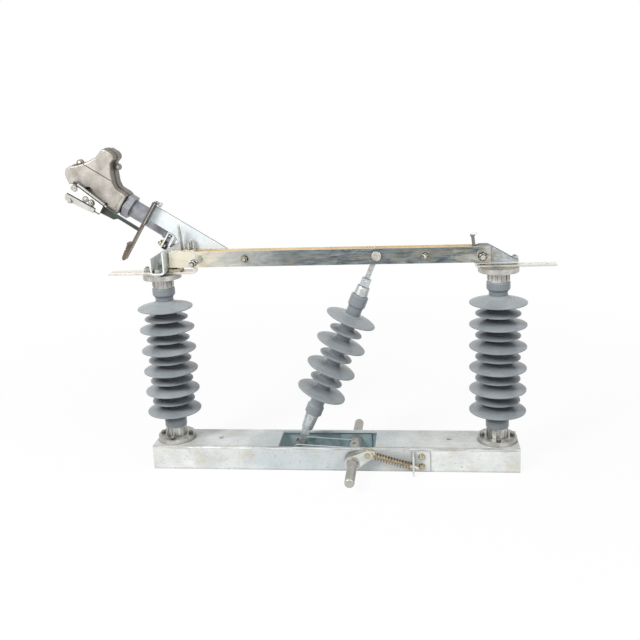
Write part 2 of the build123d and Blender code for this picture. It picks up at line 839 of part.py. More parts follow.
# ================================================================ OPERATING ROD
ROD_TOP_Z = BLADE_PIN_Z + LIFT
rod_dx = CRANK_PIN_X - BLADE_PIN_X
rod_dz = CRANK_PIN_Z - ROD_TOP_Z
ROD_L = hypot(rod_dx, rod_dz)
# how much longer the rod is than with its upper pin at the given height
ROD_STRETCH = ROD_L - hypot(rod_dx, CRANK_PIN_Z - BLADE_PIN_Z)
rod_dir = (rod_dx / ROD_L, 0, rod_dz / ROD_L)


def rod_plane(u):
    """Plane square to the operating rod, u down from the blade pin; sketch x is Y."""
    x = BLADE_PIN_X + rod_dir[0] * u
    z = ROD_TOP_Z + rod_dir[2] * u
    return Plane(origin=(x, 0, z), x_dir=(0, 1, 0), z_dir=rod_dir)


rod_face = Plane(
    origin=(BLADE_PIN_X, 0, ROD_TOP_Z),
    x_dir=rod_dir,
    z_dir=(rod_dir[2], 0, -rod_dir[0]),
)
ROD_CORE_R = 19.0
ROD_SHED_R = 65.0
ROD_SMALL_R = 43.0
ROD_BARREL_R = 18.0


def rod_profile():
    """Half profile of the rod's housing, going down: sheds slope away from the blade."""
    pts = [
        (112, 0),
        (112, 20),
        (114, 22.5),
        (140, 22.5),
        (145, ROD_CORE_R),
    ]
    rims = []
    for i in range(4):
        rims.append((179.5 + 71.2 * i, ROD_SHED_R, 14))
        if i < 3:
            rims.append((215.1 + 71.2 * i, ROD_SMALL_R, 9))
    for rim_u, rim, rise in rims:
        pts += [
            (rim_u - rise, ROD_CORE_R),
            (rim_u - rise + 3.5, ROD_CORE_R + 7),
            (rim_u - 3, rim - 3),
            (rim_u - 1.5, rim),
            (rim_u + 0.8, rim),
            (rim_u + 1.8, rim - 3),
            (rim_u - 3, ROD_CORE_R),
        ]
    pts += [
        (430 + ROD_STRETCH, ROD_CORE_R),
        (435 + ROD_STRETCH, 22.5),
        (456 + ROD_STRETCH, 22.5),
        (458 + ROD_STRETCH, 20),
        (458 + ROD_STRETCH, 0),
    ]
    return pts


with BuildPart() as rod_housing:
    with BuildSketch(rod_face):
        with BuildLine():
            Polyline(*rod_profile(), close=True)
        make_face()
    revolve(axis=Axis((BLADE_PIN_X, 0, ROD_TOP_Z), rod_dir))
save(rod_housing, "rod_housing")

with BuildPart() as rod_top:
    with BuildSketch(rod_plane(88)):
        Circle(ROD_BARREL_R - 2)
    with BuildSketch(rod_plane(112)):
        Circle(ROD_BARREL_R)
    loft()
    with BuildSketch(rod_plane(66)):
        Rectangle(18, 24)
    extrude(amount=22)
    with BuildSketch(rod_plane(10)):
        Rectangle(10, 13)
    extrude(amount=56)
    with BuildSketch(side(5)):
        with Locations((BLADE_PIN_X, ROD_TOP_Z)):
            Circle(14)
    extrude(amount=10)
    with BuildSketch(side(6)):
        with Locations((BLADE_PIN_X, ROD_TOP_Z)):
            Circle(PIVOT_R + RUN)
    extrude(amount=12, mode=Mode.SUBTRACT)
save(rod_top, "rod_upper_end")

with BuildPart() as rod_low:
    with BuildSketch(rod_plane(458 + ROD_STRETCH)):
        Circle(ROD_BARREL_R)
    with BuildSketch(rod_plane(502 + ROD_STRETCH)):
        Circle(ROD_BARREL_R - 3)
    loft()
    with BuildSketch(rod_plane(502 + ROD_STRETCH)):
        Rectangle(16, 23)
    extrude(amount=20)
    with BuildSketch(rod_plane(522 + ROD_STRETCH)):
        Rectangle(10, 18)
    extrude(amount=ROD_L - 522 - ROD_STRETCH)
    with BuildSketch(side(5)):
        with Locations((CRANK_PIN_X, CRANK_PIN_Z)):
            Circle(12)
    extrude(amount=10)
    with BuildSketch(side(6)):
        with Locations((CRANK_PIN_X, CRANK_PIN_Z)):
            Circle(PIVOT_R)
    extrude(amount=12, mode=Mode.SUBTRACT)
save(rod_low, "rod_lower_end")

# lower pin, with a washer beside each crank bar
with BuildPart() as crank_pin:
    with BuildSketch(side(36)):
        with Locations((CRANK_PIN_X, CRANK_PIN_Z)):
            Circle(PIVOT_R)
    extrude(amount=72)
    for y in (31, 22, -19, -28):
        with BuildSketch(side(y)):
            with Locations((CRANK_PIN_X, CRANK_PIN_Z)):
                Circle(14)
        extrude(amount=3)
save(crank_pin, "crank_pin")

# ================================================================ SHAFT AND CRANK
with BuildPart() as shaft:
    with BuildSketch(side(SHAFT_Y1)):
        with Locations((SHAFT_X, SHAFT_Z)):
            Circle(SHAFT_R)
    extrude(amount=SHAFT_Y1 - SHAFT_Y0)
    fillet(edges().filter_by(GeomType.CIRCLE), radius=5)
    for y in RING_GROOVES:
        with BuildSketch(side(y + RING_GROOVE_W)):
            with Locations((SHAFT_X, SHAFT_Z)):
                Circle(SHAFT_R + 1)
                Circle(SHAFT_R - RING_GROOVE_D, mode=Mode.SUBTRACT)
        extrude(amount=RING_GROOVE_W, mode=Mode.SUBTRACT)
save(shaft, "operating_shaft")

with BuildPart() as boss:
    with BuildSketch(side(42)):
        with Locations((SHAFT_X, SHAFT_Z)):
            Circle(BOSS_R)
            Circle(SHAFT_R, mode=Mode.SUBTRACT)
    extrude(amount=87)
    with BuildSketch(Plane.XY.offset(SHAFT_Z + SHAFT_R)):
        with Locations((SHAFT_X - 3, -5)):
            Circle(2.6)
    extrude(amount=10, mode=Mode.SUBTRACT)
save(boss, "crank_boss")

SLOT_TRAVEL = 12.0  # the pin works in a slot along each bar
SLOT_W = 16.0
crank_angle = atan2(CRANK_PIN_Z - SHAFT_Z, CRANK_PIN_X - SHAFT_X)
CRANK_R = hypot(CRANK_PIN_Z - SHAFT_Z, CRANK_PIN_X - SHAFT_X)
with BuildPart() as crank_bars:
    for y in (CRANK_BAR_Y, -CRANK_BAR_Y):
        bar_plane = Plane(
            origin=(SHAFT_X, y + CRANK_BAR_T / 2, SHAFT_Z),
            x_dir=(cos(crank_angle), 0, sin(crank_angle)),
            z_dir=(0, -1, 0),
        )
        with BuildSketch(bar_plane):
            with Locations((CRANK_R / 2, 0)):
                Rectangle(CRANK_R, CRANK_BAR_H)
            with Locations((CRANK_R, 0)):
                Circle(CRANK_BAR_H / 2)
            with Locations((CRANK_R + 0.8, 0.5)):
                SlotCenterToCenter(SLOT_TRAVEL, SLOT_W, mode=Mode.SUBTRACT)
            Circle(BOSS_R, mode=Mode.SUBTRACT)
        extrude(amount=CRANK_BAR_T)
save(crank_bars, "crank_bars")

with BuildPart() as toggle_lever:
    # collar on the shaft, against the front wall
    with BuildSketch(side(-BASE_W / 2 - 0.5)):
        with Locations((SHAFT_X, SHAFT_Z)):
            Circle(20)
            Circle(SHAFT_R, mode=Mode.SUBTRACT)
    extrude(amount=28.5)
    # two fork plates reaching to the spring pin
    for y in (TOGGLE_Y + 12, TOGGLE_Y - 8):
        with BuildSketch(side(y)):
            with BuildLine():
                Polyline(
                    (SHAFT_X - 11, SHAFT_Z + 16),
                    (TOGGLE_PIN_X - 8, TOGGLE_PIN_Z + 11),
                    (TOGGLE_PIN_X + 9, TOGGLE_PIN_Z - 9),
                    (SHAFT_X + 12, SHAFT_Z - 16),
                    close=True,
                )
            make_face()
            with Locations((TOGGLE_PIN_X, TOGGLE_PIN_Z)):
                Circle(13)
                Circle(4, mode=Mode.SUBTRACT)
            with Locations((SHAFT_X, SHAFT_Z)):
                Circle(20)
                Circle(SHAFT_R, mode=Mode.SUBTRACT)
        extrude(amount=4)
save(toggle_lever, "toggle_lever")

with BuildPart() as toggle_pin:
    with BuildSketch(side(TOGGLE_Y + 14)):
        with Locations((TOGGLE_PIN_X, TOGGLE_PIN_Z)):
            Circle(4)
    extrude(amount=28)
    with BuildSketch(side(TOGGLE_Y - 12)):
        with Locations((TOGGLE_PIN_X, TOGGLE_PIN_Z)):
            Circle(7)
    extrude(amount=3)
save(toggle_pin, "toggle_pin")

# ================================================================ TOGGLE SPRING
spring_dx = SPRING_EYE_X - TOGGLE_PIN_X
spring_dz = SPRING_EYE_Z - TOGGLE_PIN_Z
SPRING_L = hypot(spring_dx, spring_dz)
spring_dir = (spring_dx / SPRING_L, 0, spring_dz / SPRING_L)


def spring_plane(u):
    """Plane square to the spring rod, u along it from the toggle pin."""
    return Plane(
        origin=(TOGGLE_PIN_X + spring_dir[0] * u, TOGGLE_Y, TOGGLE_PIN_Z + spring_dir[2] * u),
        x_dir=(0, 1, 0),
        z_dir=spring_dir,
    )


with BuildPart() as spring_rod:
    with BuildSketch(spring_plane(-7)):
        Rectangle(13, 17)
    extrude(amount=24)
    with BuildSketch(spring_plane(17)):
        Circle(SPRING_ROD_R)
    extrude(amount=116)
    with BuildSketch(side(TOGGLE_Y + 7)):
        with Locations((TOGGLE_PIN_X, TOGGLE_PIN_Z)):
            Circle(4 + RUN)
    extrude(amount=14, mode=Mode.SUBTRACT)
save(spring_rod, "spring_rod")

SPRING_START = 17.0
SPRING_END = SPRING_L - 4.6
with BuildPart() as toggle_spring:
    with BuildLine():
        coil_height = SPRING_END - SPRING_START - 2 * SPRING_WIRE_R - 0.4
        coil = Helix(
            pitch=coil_height / SPRING_TURNS,
            height=coil_height,
            radius=SPRING_R,
            center=spring_plane(SPRING_START + SPRING_WIRE_R + 0.2).origin,
            direction=spring_dir,
        )
    with BuildSketch(Plane(origin=coil @ 0, z_dir=coil % 0)):
        Circle(SPRING_WIRE_R)
    sweep(path=coil)
save(toggle_spring, "toggle_spring")

with BuildPart() as spring_bracket:
    # foot on the front wall
    with BuildSketch(side(-BASE_W / 2)):
        with Locations((230.5, 31)):
            RectangleRounded(44, 54, 2)
        with Locations((232, 44), (232, 17)):
            Circle(4.5, mode=Mode.SUBTRACT)
    extrude(amount=4.5)
    # plate standing out from the wall, with the slot for the rod
    with BuildSketch(cross(SPRING_EYE_X - 2.5)):
        with Locations((-BASE_W / 2 - 18, 31)):
            Rectangle(36, 54)
        with Locations((TOGGLE_Y, SPRING_EYE_Z + 1)):
            SlotOverall(22, 2 * SPRING_ROD_R + 4, rotation=90, mode=Mode.SUBTRACT)
    extrude(amount=5)
save(spring_bracket, "spring_bracket")
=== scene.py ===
"""Looks of an outdoor disconnect switch pole with a load interrupter.

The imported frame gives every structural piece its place. This script gives those
pieces their finishes, adds the bolts, nuts, washers and small fittings, and sets
a plain studio round them. Blender's lengths are metres in the frame's axes. The
sizes of fasteners and patterns are millimetres, and MM turns them into metres.
"""
from math import cos, pi, radians, sin, tan

import bmesh
import bpy
from mathutils import Matrix, Vector


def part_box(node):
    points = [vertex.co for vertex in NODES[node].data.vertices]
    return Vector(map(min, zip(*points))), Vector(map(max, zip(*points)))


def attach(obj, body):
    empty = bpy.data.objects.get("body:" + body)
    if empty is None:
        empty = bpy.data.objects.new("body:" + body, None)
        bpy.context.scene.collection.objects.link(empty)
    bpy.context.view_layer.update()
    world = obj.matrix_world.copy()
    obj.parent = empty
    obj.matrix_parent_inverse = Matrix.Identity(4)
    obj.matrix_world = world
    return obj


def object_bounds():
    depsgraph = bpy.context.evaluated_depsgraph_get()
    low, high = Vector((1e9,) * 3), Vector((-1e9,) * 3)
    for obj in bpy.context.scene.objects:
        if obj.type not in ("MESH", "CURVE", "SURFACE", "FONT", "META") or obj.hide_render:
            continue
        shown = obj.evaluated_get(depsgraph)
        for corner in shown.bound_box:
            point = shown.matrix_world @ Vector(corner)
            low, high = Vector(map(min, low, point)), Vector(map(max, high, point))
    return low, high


bl_info = {
    "name": "Disconnect Switch Finishes",
    "version": (1, 0, 0),
    "blender": (4, 5, 0),
    "location": "View3D > Sidebar > Switch",
    "description": "Finishes, fasteners and studio for an outdoor disconnect switch pole",
    "category": "Object",
}

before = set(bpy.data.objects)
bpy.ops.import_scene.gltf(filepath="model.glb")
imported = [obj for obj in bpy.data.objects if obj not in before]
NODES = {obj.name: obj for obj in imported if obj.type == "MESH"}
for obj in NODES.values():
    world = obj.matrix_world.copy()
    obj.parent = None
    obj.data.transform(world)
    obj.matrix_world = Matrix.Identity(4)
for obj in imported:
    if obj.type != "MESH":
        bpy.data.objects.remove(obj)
CAD_BOX = [list(corner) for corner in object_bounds()]
MM = 0.001

UP, DOWN = (0, 0, 1), (0, 0, -1)
FRONT, BACK = (0, -1, 0), (0, 1, 0)
LEFT, RIGHT = (-1, 0, 0), (1, 0, 0)

TILT = radians(33.0)  # rise of the interrupter above the horizontal

# places that no box in the frame gives, in millimetres: x and z, or y or z alone
CHANNEL_HALF, CHANNEL_ROOF = 55.2, 59.2  # inner faces of the base: half its width, its height
JAW_BOLTS_Y, JAW_BOLTS_Z = (40, 60), 558
SPACER_BOLTS = ((-201.0, 557.7), (248.0, 554.8))
SPRING_BRACKET_X, SPRING_BRACKET_BOLTS_Z = 232, (44, 17)
# the same on the interrupter: how far up it and how far across it
HEAD_SCREWS = ((884.5, 369.5), (977, 327))
HEAD_FRONT_Y, HEAD_BACK_Y = 65, 75
BOX_INSIDE, BOX_OUTSIDE = 678, 682  # faces of the plate in the box that holds the tube
BOX_BOLTS_ACROSS, BOX_BOLTS_Y = (260.5, 291), (37, 58)
BLOCK_SCREW, BLOCK_NUT, STRAP_SCREW = (906, 267), (888, 267), (938.5, 242.4)
TRIP_BAR_END = (724, 358)

# metric hexagon fasteners, as shares of the thread size
ACROSS_FLATS = 1.5
HEAD_HEIGHT = 0.6
NUT_HEIGHT = 0.8
SPRING_WASHER = 0.17
PITCH = 0.145
M6_PITCH, M8_PITCH, M10_PITCH = 1.0, 1.25, 1.5  # millimetres

# finishes that many pieces share
NICKEL, BLACK = "Nickel-plated steel", "Black oxide steel"
DULL, YELLOW = "Dull zinc-plated fastener", "Yellow-passivated zinc plate"

# points round one turn, enough that a silhouette stays smooth close up
ROUND_STEPS, WASHER_STEPS, HEXAGON_STEPS = 28, 36, 48


# ---- places
def centre(node):
    """Middle of a node's box at rest."""
    return (low(node) + high(node)) / 2


def low(node):
    """Lowest corner of a node's box at rest."""
    return Vector(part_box(node)[0])


def high(node):
    """Highest corner of a node's box at rest."""
    return Vector(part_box(node)[1])


def facing(at, way, across=UP):
    """Placement at a point with local Z along way, and local X as near to across as it
    goes. For a nut, across is how its corners happened to stop when it was tightened."""
    z = Vector(way).normalized()
    x = Vector(across) - z * Vector(across).dot(z)
    if x.length < 1e-6:
        x = Vector(RIGHT) - z * z.x
    x.normalize()
    spot = Matrix((x, z.cross(x), z)).transposed().to_4x4()
    spot.translation = Vector(at)
    return spot


def raised(spot, height):
    """A placement moved along its own Z by some millimetres."""
    return spot @ Matrix.Translation((0, 0, height * MM))


def tilted(s, t, y):
    """Point at s up the interrupter and t across it, in millimetres, at depth y in metres."""
    x = -s * cos(TILT) + t * sin(TILT)
    z = s * sin(TILT) + t * cos(TILT)
    return Vector((x * MM, y, z * MM))


# ---- mesh making, in millimetres
def ring(bm, spot, radii, z):
    """One loop of points round local Z, with a radius for each."""
    turns = [2 * pi * i / len(radii) for i in range(len(radii))]
    return [
        bm.verts.new(spot @ Vector((r * MM * cos(a), r * MM * sin(a), z * MM)))
        for r, a in zip(radii, turns)
    ]


def skin(bm, loops, close_ends=True):
    """Quads between neighbouring loops, and a face over each end."""
    for a, b in zip(loops, loops[1:]):
        for i in range(len(a)):
            j = (i + 1) % len(a)
            bm.faces.new((a[i], a[j], b[j], b[i]))
    if close_ends:
        bm.faces.new(list(reversed(loops[0])))
        bm.faces.new(loops[-1])


def turned(bm, spot, profile):
    """Solid turned about local Z from (radius, height) pairs."""
    skin(bm, [ring(bm, spot, [r] * ROUND_STEPS, z) for r, z in profile])


def washer(bm, spot, outer, inner, thick):
    """Flat washer with softened edges, its back on the placement."""
    e = min(0.35, thick * 0.25)
    section = (
        (inner, 0), (outer - e, 0), (outer, e),
        (outer, thick - e), (outer - e, thick), (inner, thick),
    )
    loops = [ring(bm, spot, [r] * WASHER_STEPS, z) for r, z in section]
    skin(bm, loops + [loops[0]], close_ends=False)


def shade_ring(bm, spot, hole, z, wide=1.6):
    """Thin dark ring round a bolt's end on the face of its nut: painted shade where the thread
    leaves the nut.
    """
    washer(bm, raised(spot, z), hole + wide, hole, 0.35)


def hexagon(bm, spot, flats, bottom, top, nut=False):
    """Six-sided head with its upper corners turned off, or a nut with both ends so."""
    face = flats / 2
    corner = face / cos(pi / 6)
    rim = face * 0.96  # the turned end is a little narrower than the flats
    drop = (corner - rim) * tan(radians(30))
    half = (face + corner) / 2

    def section(limit, z):
        turns = (2 * pi * i / HEXAGON_STEPS % (pi / 3) - pi / 6 for i in range(HEXAGON_STEPS))
        return ring(bm, spot, [min(face / cos(a), limit) for a in turns], z)

    loops = []
    if nut:
        loops += [section(rim, bottom), section(half, bottom + drop / 2)]
    loops.append(section(corner, bottom + drop if nut else bottom))
    loops += [section(corner, top - drop), section(half, top - drop / 2), section(rim, top)]
    loops.append(ring(bm, spot, [face * 0.5] * HEXAGON_STEPS, top))
    skin(bm, loops)


def thread(bm, spot, radius, bottom, top, pitch):
    """Threaded end of a bolt: ridges one pitch apart and a small cone at the tip."""
    depth = 0.55 * pitch * 0.87
    profile = [(radius, bottom)]
    z = bottom
    while z + pitch < top - 1:
        profile += [
            (radius, z + 0.2 * pitch), (radius - depth, z + 0.5 * pitch), (radius, z + 0.8 * pitch),
        ]
        z += pitch
    turned(bm, spot, profile + [(radius, top - 1), (radius - 0.9, top)])


def flat_washer(bm, spot, size):
    """Standard washer for a thread size, on the placement. Gives its thickness."""
    thick = 2.4 * size / 12
    washer(bm, spot, size, size * 0.54, thick)
    return thick


def hex_bolt(bm, spot, size):
    """Head and washer of a hexagon bolt that stands on the placement."""
    base = flat_washer(bm, spot, size)
    hexagon(bm, spot, size * ACROSS_FLATS, base, base + size * HEAD_HEIGHT)


def nut_and_end(bm, spot, size, reach):
    """Washer, spring washer and nut on the placement, with the bolt's end standing out."""
    thick = flat_washer(bm, spot, size)
    washer(bm, raised(spot, thick), size * 0.85, size * 0.52, size * SPRING_WASHER)
    base = thick + size * SPRING_WASHER
    top = base + size * NUT_HEIGHT
    hexagon(bm, spot, size * ACROSS_FLATS, base, top, nut=True)
    thread(bm, spot, size * 0.5 - 0.1, base + size * 0.3, top + reach, size * PITCH)


def bar_between(bm, spot, lo, hi):
    """Bar with softened edges between two local corners."""
    made = bmesh.ops.create_cube(bm, size=1.0)
    for v in made["verts"]:
        v.co = spot @ (Vector([c * (h - l) + (h + l) / 2 for c, l, h in zip(v.co, lo, hi)]) * MM)
    edges = list({e for v in made["verts"] for e in v.link_edges})
    bmesh.ops.bevel(bm, geom=edges, offset=0.4 * MM, segments=2, affect="EDGES", profile=0.7)


def make_piece(name, bm, stock, body="frame"):
    """Turns a bmesh into a named piece in a finish, which rides on a body."""
    bmesh.ops.recalc_face_normals(bm, faces=bm.faces[:])
    mesh = bpy.data.meshes.new(name)
    bm.to_mesh(mesh)
    bm.free()
    mesh.materials.append(finish(stock))
    mesh.shade_smooth()
    mesh.set_sharp_from_angle(angle=radians(35))
    piece = bpy.data.objects.new(name, mesh)
    bpy.context.scene.collection.objects.link(piece)
    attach(piece, body)


def dress(node, stock, edge=0.0):
    """Gives a carried-over node its finish, and rounds its sharp edges by some millimetres."""
    target = NODES[node]
    if not target.material_slots:
        target.data.materials.append(finish(stock))
    for place in target.material_slots:
        place.material = finish(stock)
    if edge:
        weld = target.modifiers.new("join", "WELD")
        weld.merge_threshold = 0.01 * MM
        bevel = target.modifiers.new("soft_edges", "BEVEL")
        bevel.width = edge * MM
        bevel.segments = 1 if edge > 1 else 2
        bevel.limit_method = "ANGLE"
        bevel.angle_limit = radians(40)
        bevel.harden_normals = True


# ---- material making
def linear(code):
    """sRGB hex to a linear colour with full alpha."""
    out = []
    for i in (1, 3, 5):
        c = int(code[i : i + 2], 16) / 255
        out.append(c / 12.92 if c <= 0.04045 else ((c + 0.055) / 1.055) ** 2.4)
    return (*out, 1.0)


def solid(colour):
    """A picked colour as a shader value."""
    return (*colour, 1.0)


def add(tree, kind, *first, **named):
    """Adds a shader node. Plain values go to its first open sockets in turn, a keyword
    with a capital to the socket of that name, and any other keyword is a property of the
    node. A value is a number or a colour, a socket, or a node, which means its result."""
    node = tree.nodes.new("ShaderNode" + kind)
    for name in filter(str.islower, named):
        setattr(node, name, named[name])
    sockets = [socket for socket in node.inputs if socket.enabled]
    given = list(zip(sockets, first))
    for name in named:
        if not name.islower():
            label = name.replace("_", " ")
            given.append((next(s for s in sockets if s.name == label), named[name]))
    for socket, value in given:
        if isinstance(value, bpy.types.Node):
            value = next(out for out in value.outputs if out.enabled)
        if isinstance(value, bpy.types.NodeSocket):
            tree.links.new(value, socket)
        else:
            socket.default_value = value
    return node


def start(name, metallic, roughness, ior=None):
    """A new material with its shader, and the surface's own place in millimetres."""
    material = bpy.data.materials.new(name)
    material.use_nodes = True
    tree = material.node_tree
    shader = tree.nodes["Principled BSDF"]
    shader.inputs["Metallic"].default_value = metallic
    shader.inputs["Roughness"].default_value = roughness
    if ior:
        shader.inputs["IOR"].default_value = ior
    place = add(tree, "TexCoord")
    where = add(tree, "VectorMath", place.outputs["Object"], Scale=1 / MM, operation="SCALE")
    return tree, shader, where


def lay(tree, under, over, pattern, span, most=1.0, **settings):
    """One colour laid over another where a pattern runs through a span of its values."""
    share = add(tree, "MapRange", pattern, *span, To_Max=most, **settings)
    return add(tree, "Mix", share, under, over, data_type="RGBA")


def ragged(tree, place, pattern, width):
    """A place along an axis pushed to and fro by a pattern, so that what fades along it
    has no straight border, in millimetres."""
    push = add(tree, "Math", pattern, width, -width / 2, operation="MULTIPLY_ADD")
    return add(tree, "Math", place, push, operation="ADD")


def texture(tree, shader, height, strength, depth, gloss=None, rough=(0, 0)):
    """Links a relief that follows one pattern, depth in millimetres, and, where a second
    one is given, a roughness that wanders with it."""
    bump = add(tree, "Bump", Height=height, Strength=strength, Distance=depth * MM)
    tree.links.new(bump.outputs[0], shader.inputs["Normal"])
    if gloss is not None:
        satin = add(
            tree, "MapRange", gloss, From_Min=0.3, From_Max=0.7, To_Min=rough[0], To_Max=rough[1]
        )
        tree.links.new(satin.outputs[0], shader.inputs["Roughness"])


def paint_corner_shade(tree, shader, colour, reach, amount, shade_colour="#2f2b25"):
    """Links a colour to the shader with painted shade where corners close in, reach in millimetres.
    """
    # painted shade: the colour turns towards the shade colour where ambient occlusion finds
    # surfaces close by
    shade = add(tree, "AmbientOcclusion", Distance=reach * MM, samples=8)
    shaded = lay(tree, colour, linear(shade_colour), shade.outputs["AO"], (0.85, 0.3), amount)
    tree.links.new(shaded.outputs[2], shader.inputs["Base Color"])


def galvanised_steel(name, light, dark, warm, inside):
    """Steel dipped in molten zinc after folding. It gives a frosty pale grey skin with
    soft cloudy patches, faint spangle about 8 mm across, fine scratches along the
    channel, small dark pits, and warm stains where water stood."""
    tree, shader, where = start(name, 0.3, 0.5)
    cloud = add(tree, "TexNoise", where, Scale=1 / 70, Detail=6.0, Roughness=0.62)
    body = lay(tree, light, dark, cloud, (0.38, 0.72), 0.55)
    spangle = add(tree, "TexVoronoi", where, Scale=1 / 8)
    grain = add(tree, "SeparateColor", spangle.outputs["Color"])
    lit = add(tree, "MapRange", grain, To_Min=0.97, To_Max=1.02)
    toned = add(tree, "VectorMath", body, Scale=lit, operation="SCALE")
    # the base is bluer and darker towards the middle of its length
    spot = add(tree, "SeparateXYZ", where)
    broad = add(tree, "TexNoise", where, Scale=1 / 90, Detail=4.0, W=2.2, noise_dimensions="4D")
    along_base = ragged(tree, spot.outputs["X"], broad, 560.0)
    from_middle = add(tree, "Math", along_base, 40.0, operation="ADD")
    far = add(tree, "Math", from_middle, operation="ABSOLUTE")
    toned = lay(
        tree, toned, linear("#b2bdc3"), far, (330.0, 60.0), 0.62, interpolation_type="SMOOTHSTEP"
    )
    # scratches and rolling marks run the length of the channel
    along = add(tree, "VectorMath", where, (1 / 120, 1 / 3, 1 / 3), operation="MULTIPLY")
    marks = add(tree, "TexNoise", along, Scale=2.0, Detail=6.0, Roughness=0.7)
    scratched = lay(tree, toned, dark, marks, (0.54, 0.68), 0.6)
    pits = add(tree, "TexNoise", where, Scale=1 / 7, Detail=6.0, Roughness=0.78)
    pitted = lay(tree, scratched, linear("#6c6860"), pits, (0.58, 0.66), 0.6)
    damp = add(tree, "TexNoise", where, Scale=1 / 48, Detail=6.0, W=3.7, noise_dimensions="4D")
    stained = lay(tree, pitted, warm, damp, (0.55, 0.78), 0.6)
    # the inner faces of the channel keep their blue-green passivation
    off_middle = add(tree, "Math", spot.outputs["Y"], operation="ABSOLUTE")
    between = add(tree, "Math", off_middle, CHANNEL_HALF, operation="LESS_THAN")
    below = add(tree, "Math", spot.outputs["Z"], CHANNEL_ROOF, operation="LESS_THAN")
    within = add(tree, "Math", between, below, operation="MULTIPLY")
    tint = add(tree, "MapRange", cloud, To_Min=0.8, To_Max=1.2)
    teal = add(tree, "VectorMath", inside[:3], Scale=tint, operation="SCALE")
    faces = add(tree, "Mix", within, stained, teal, data_type="RGBA")
    # the outer folds are a dull grey in short lengths: worn specks, and painted shade that dulls
    # their highlight
    form = add(tree, "NewGeometry")
    turn = add(tree, "SeparateXYZ", form.outputs["Normal"])
    diagonal = add(tree, "Math", turn.outputs["Y"], turn.outputs["Z"], operation="MULTIPLY")
    fold = add(tree, "MapRange", diagonal, From_Min=-0.06, From_Max=-0.3)
    broken = add(tree, "MapRange", marks, From_Min=0.42, From_Max=0.56, To_Max=0.8)
    fold_wear_and_shade = add(tree, "Math", fold, broken, operation="MULTIPLY")
    faces = add(tree, "Mix", fold_wear_and_shade, faces, linear("#86817a"), data_type="RGBA")
    # painted shade in the channel's corners and holes
    paint_corner_shade(tree, shader, faces, 9.0, 0.7)
    texture(tree, shader, pits, 0.15, 0.5, pits, (0.42, 0.6))


def silicone_rubber(name, grey, dust):
    """Silicone rubber moulded over the rod in one piece. It gives a soft satin grey
    with a little pale dust on the upper faces and a fine moulded skin."""
    tree, shader, where = start(name, 0.0, 0.46, ior=1.41)
    form = add(tree, "NewGeometry")
    lift = add(tree, "SeparateXYZ", form.outputs["Normal"])
    top = add(tree, "MapRange", lift.outputs["Z"], From_Min=0.1, From_Max=0.9, To_Max=0.8)
    drift = add(tree, "TexNoise", where, Scale=1 / 60, Detail=3.0)
    dusty = add(tree, "Math", top, drift, operation="MULTIPLY")
    body = add(tree, "Mix", dusty, grey, dust, data_type="RGBA")
    fine = add(tree, "TexNoise", where, Scale=1 / 1.6, Detail=2.0)
    # painted shade deep between the sheds
    paint_corner_shade(tree, shader, body, 34.0, 0.64, "#1f2124")
    texture(tree, shader, fine, 0.06, 0.2, drift, (0.22, 0.34))


def rough_metal(
    name, light, dark, wall=None, grit=1.4, metallic=0.6, cloudy=0.35, reach=5.0, corner_shade=0.6
):
    """Metal left with the skin of its making: cast, or dipped or blackened after sawing.
    It gives a dull skin with a fine grit, a soft change of tone over the part, and painted
    shade in creases and corners. Side walls can be darker, as painted shade on the faces that turn
    away from the front."""
    tree, shader, where = start(name, metallic, 0.42)
    pits = add(tree, "TexNoise", where, Scale=1 / grit, Detail=4.0, Roughness=0.6)
    cloud = add(tree, "TexNoise", where, Scale=1 / 30, Detail=5.0, Roughness=0.55)
    form = add(tree, "NewGeometry")
    soft, speck, corner = (
        add(tree, "MapRange", pattern, From_Min=least, From_Max=full, To_Max=most)
        for pattern, least, full, most in (
            (cloud, 0.35, 0.7, cloudy),
            (pits, 0.55, 0.75, 0.3),
            # this last pattern is painted shade: darker where the surface folds inward
            (form.outputs["Pointiness"], 0.5, 0.44, 0.5),
        )
    )
    both = add(tree, "Math", soft, speck, operation="ADD", use_clamp=True)
    specked_and_shaded = add(tree, "Math", both, corner, operation="ADD", use_clamp=True)
    body = add(tree, "Mix", specked_and_shaded, light, dark, data_type="RGBA")
    # painted shade: faces turned away from the front take the darker wall colour
    if wall:
        turn = add(tree, "SeparateXYZ", form.outputs["True Normal"])
        broad = add(tree, "Math", turn.outputs["Y"], operation="ABSOLUTE")
        body = lay(tree, body, wall, broad, (0.92, 0.55), 0.8)
    # painted shade in corners, strongest on the head shell
    paint_corner_shade(tree, shader, body, reach, corner_shade)
    texture(tree, shader, pits, 0.25, 0.3)


def plated_metal(
    name, light, dark, tarnish, amount=0.5, streak=(1 / 60, 1 / 6, 1 / 6), metallic=0.85
):
    """Rolled or drawn metal with a thin plating. It gives a bright cool metal with
    fine rolling lines, and olive or straw tarnish in soft runs."""
    tree, shader, where = start(name, metallic, 0.36)
    along = add(tree, "VectorMath", where, streak, operation="MULTIPLY")
    lines = add(tree, "TexNoise", along, Scale=4.0, Detail=4.0)
    body = lay(tree, dark, light, lines, (0.32, 0.68))
    runs = add(tree, "TexNoise", where, Scale=1 / 22, Detail=5.0, Roughness=0.62)
    toned = lay(tree, body, tarnish, runs, (0.46, 0.66), amount)
    # painted shade round nuts, washers and other corners
    paint_corner_shade(tree, shader, toned, 6.0, 0.9)
    texture(tree, shader, lines, 0.12, 0.2, runs, (0.26, 0.5))


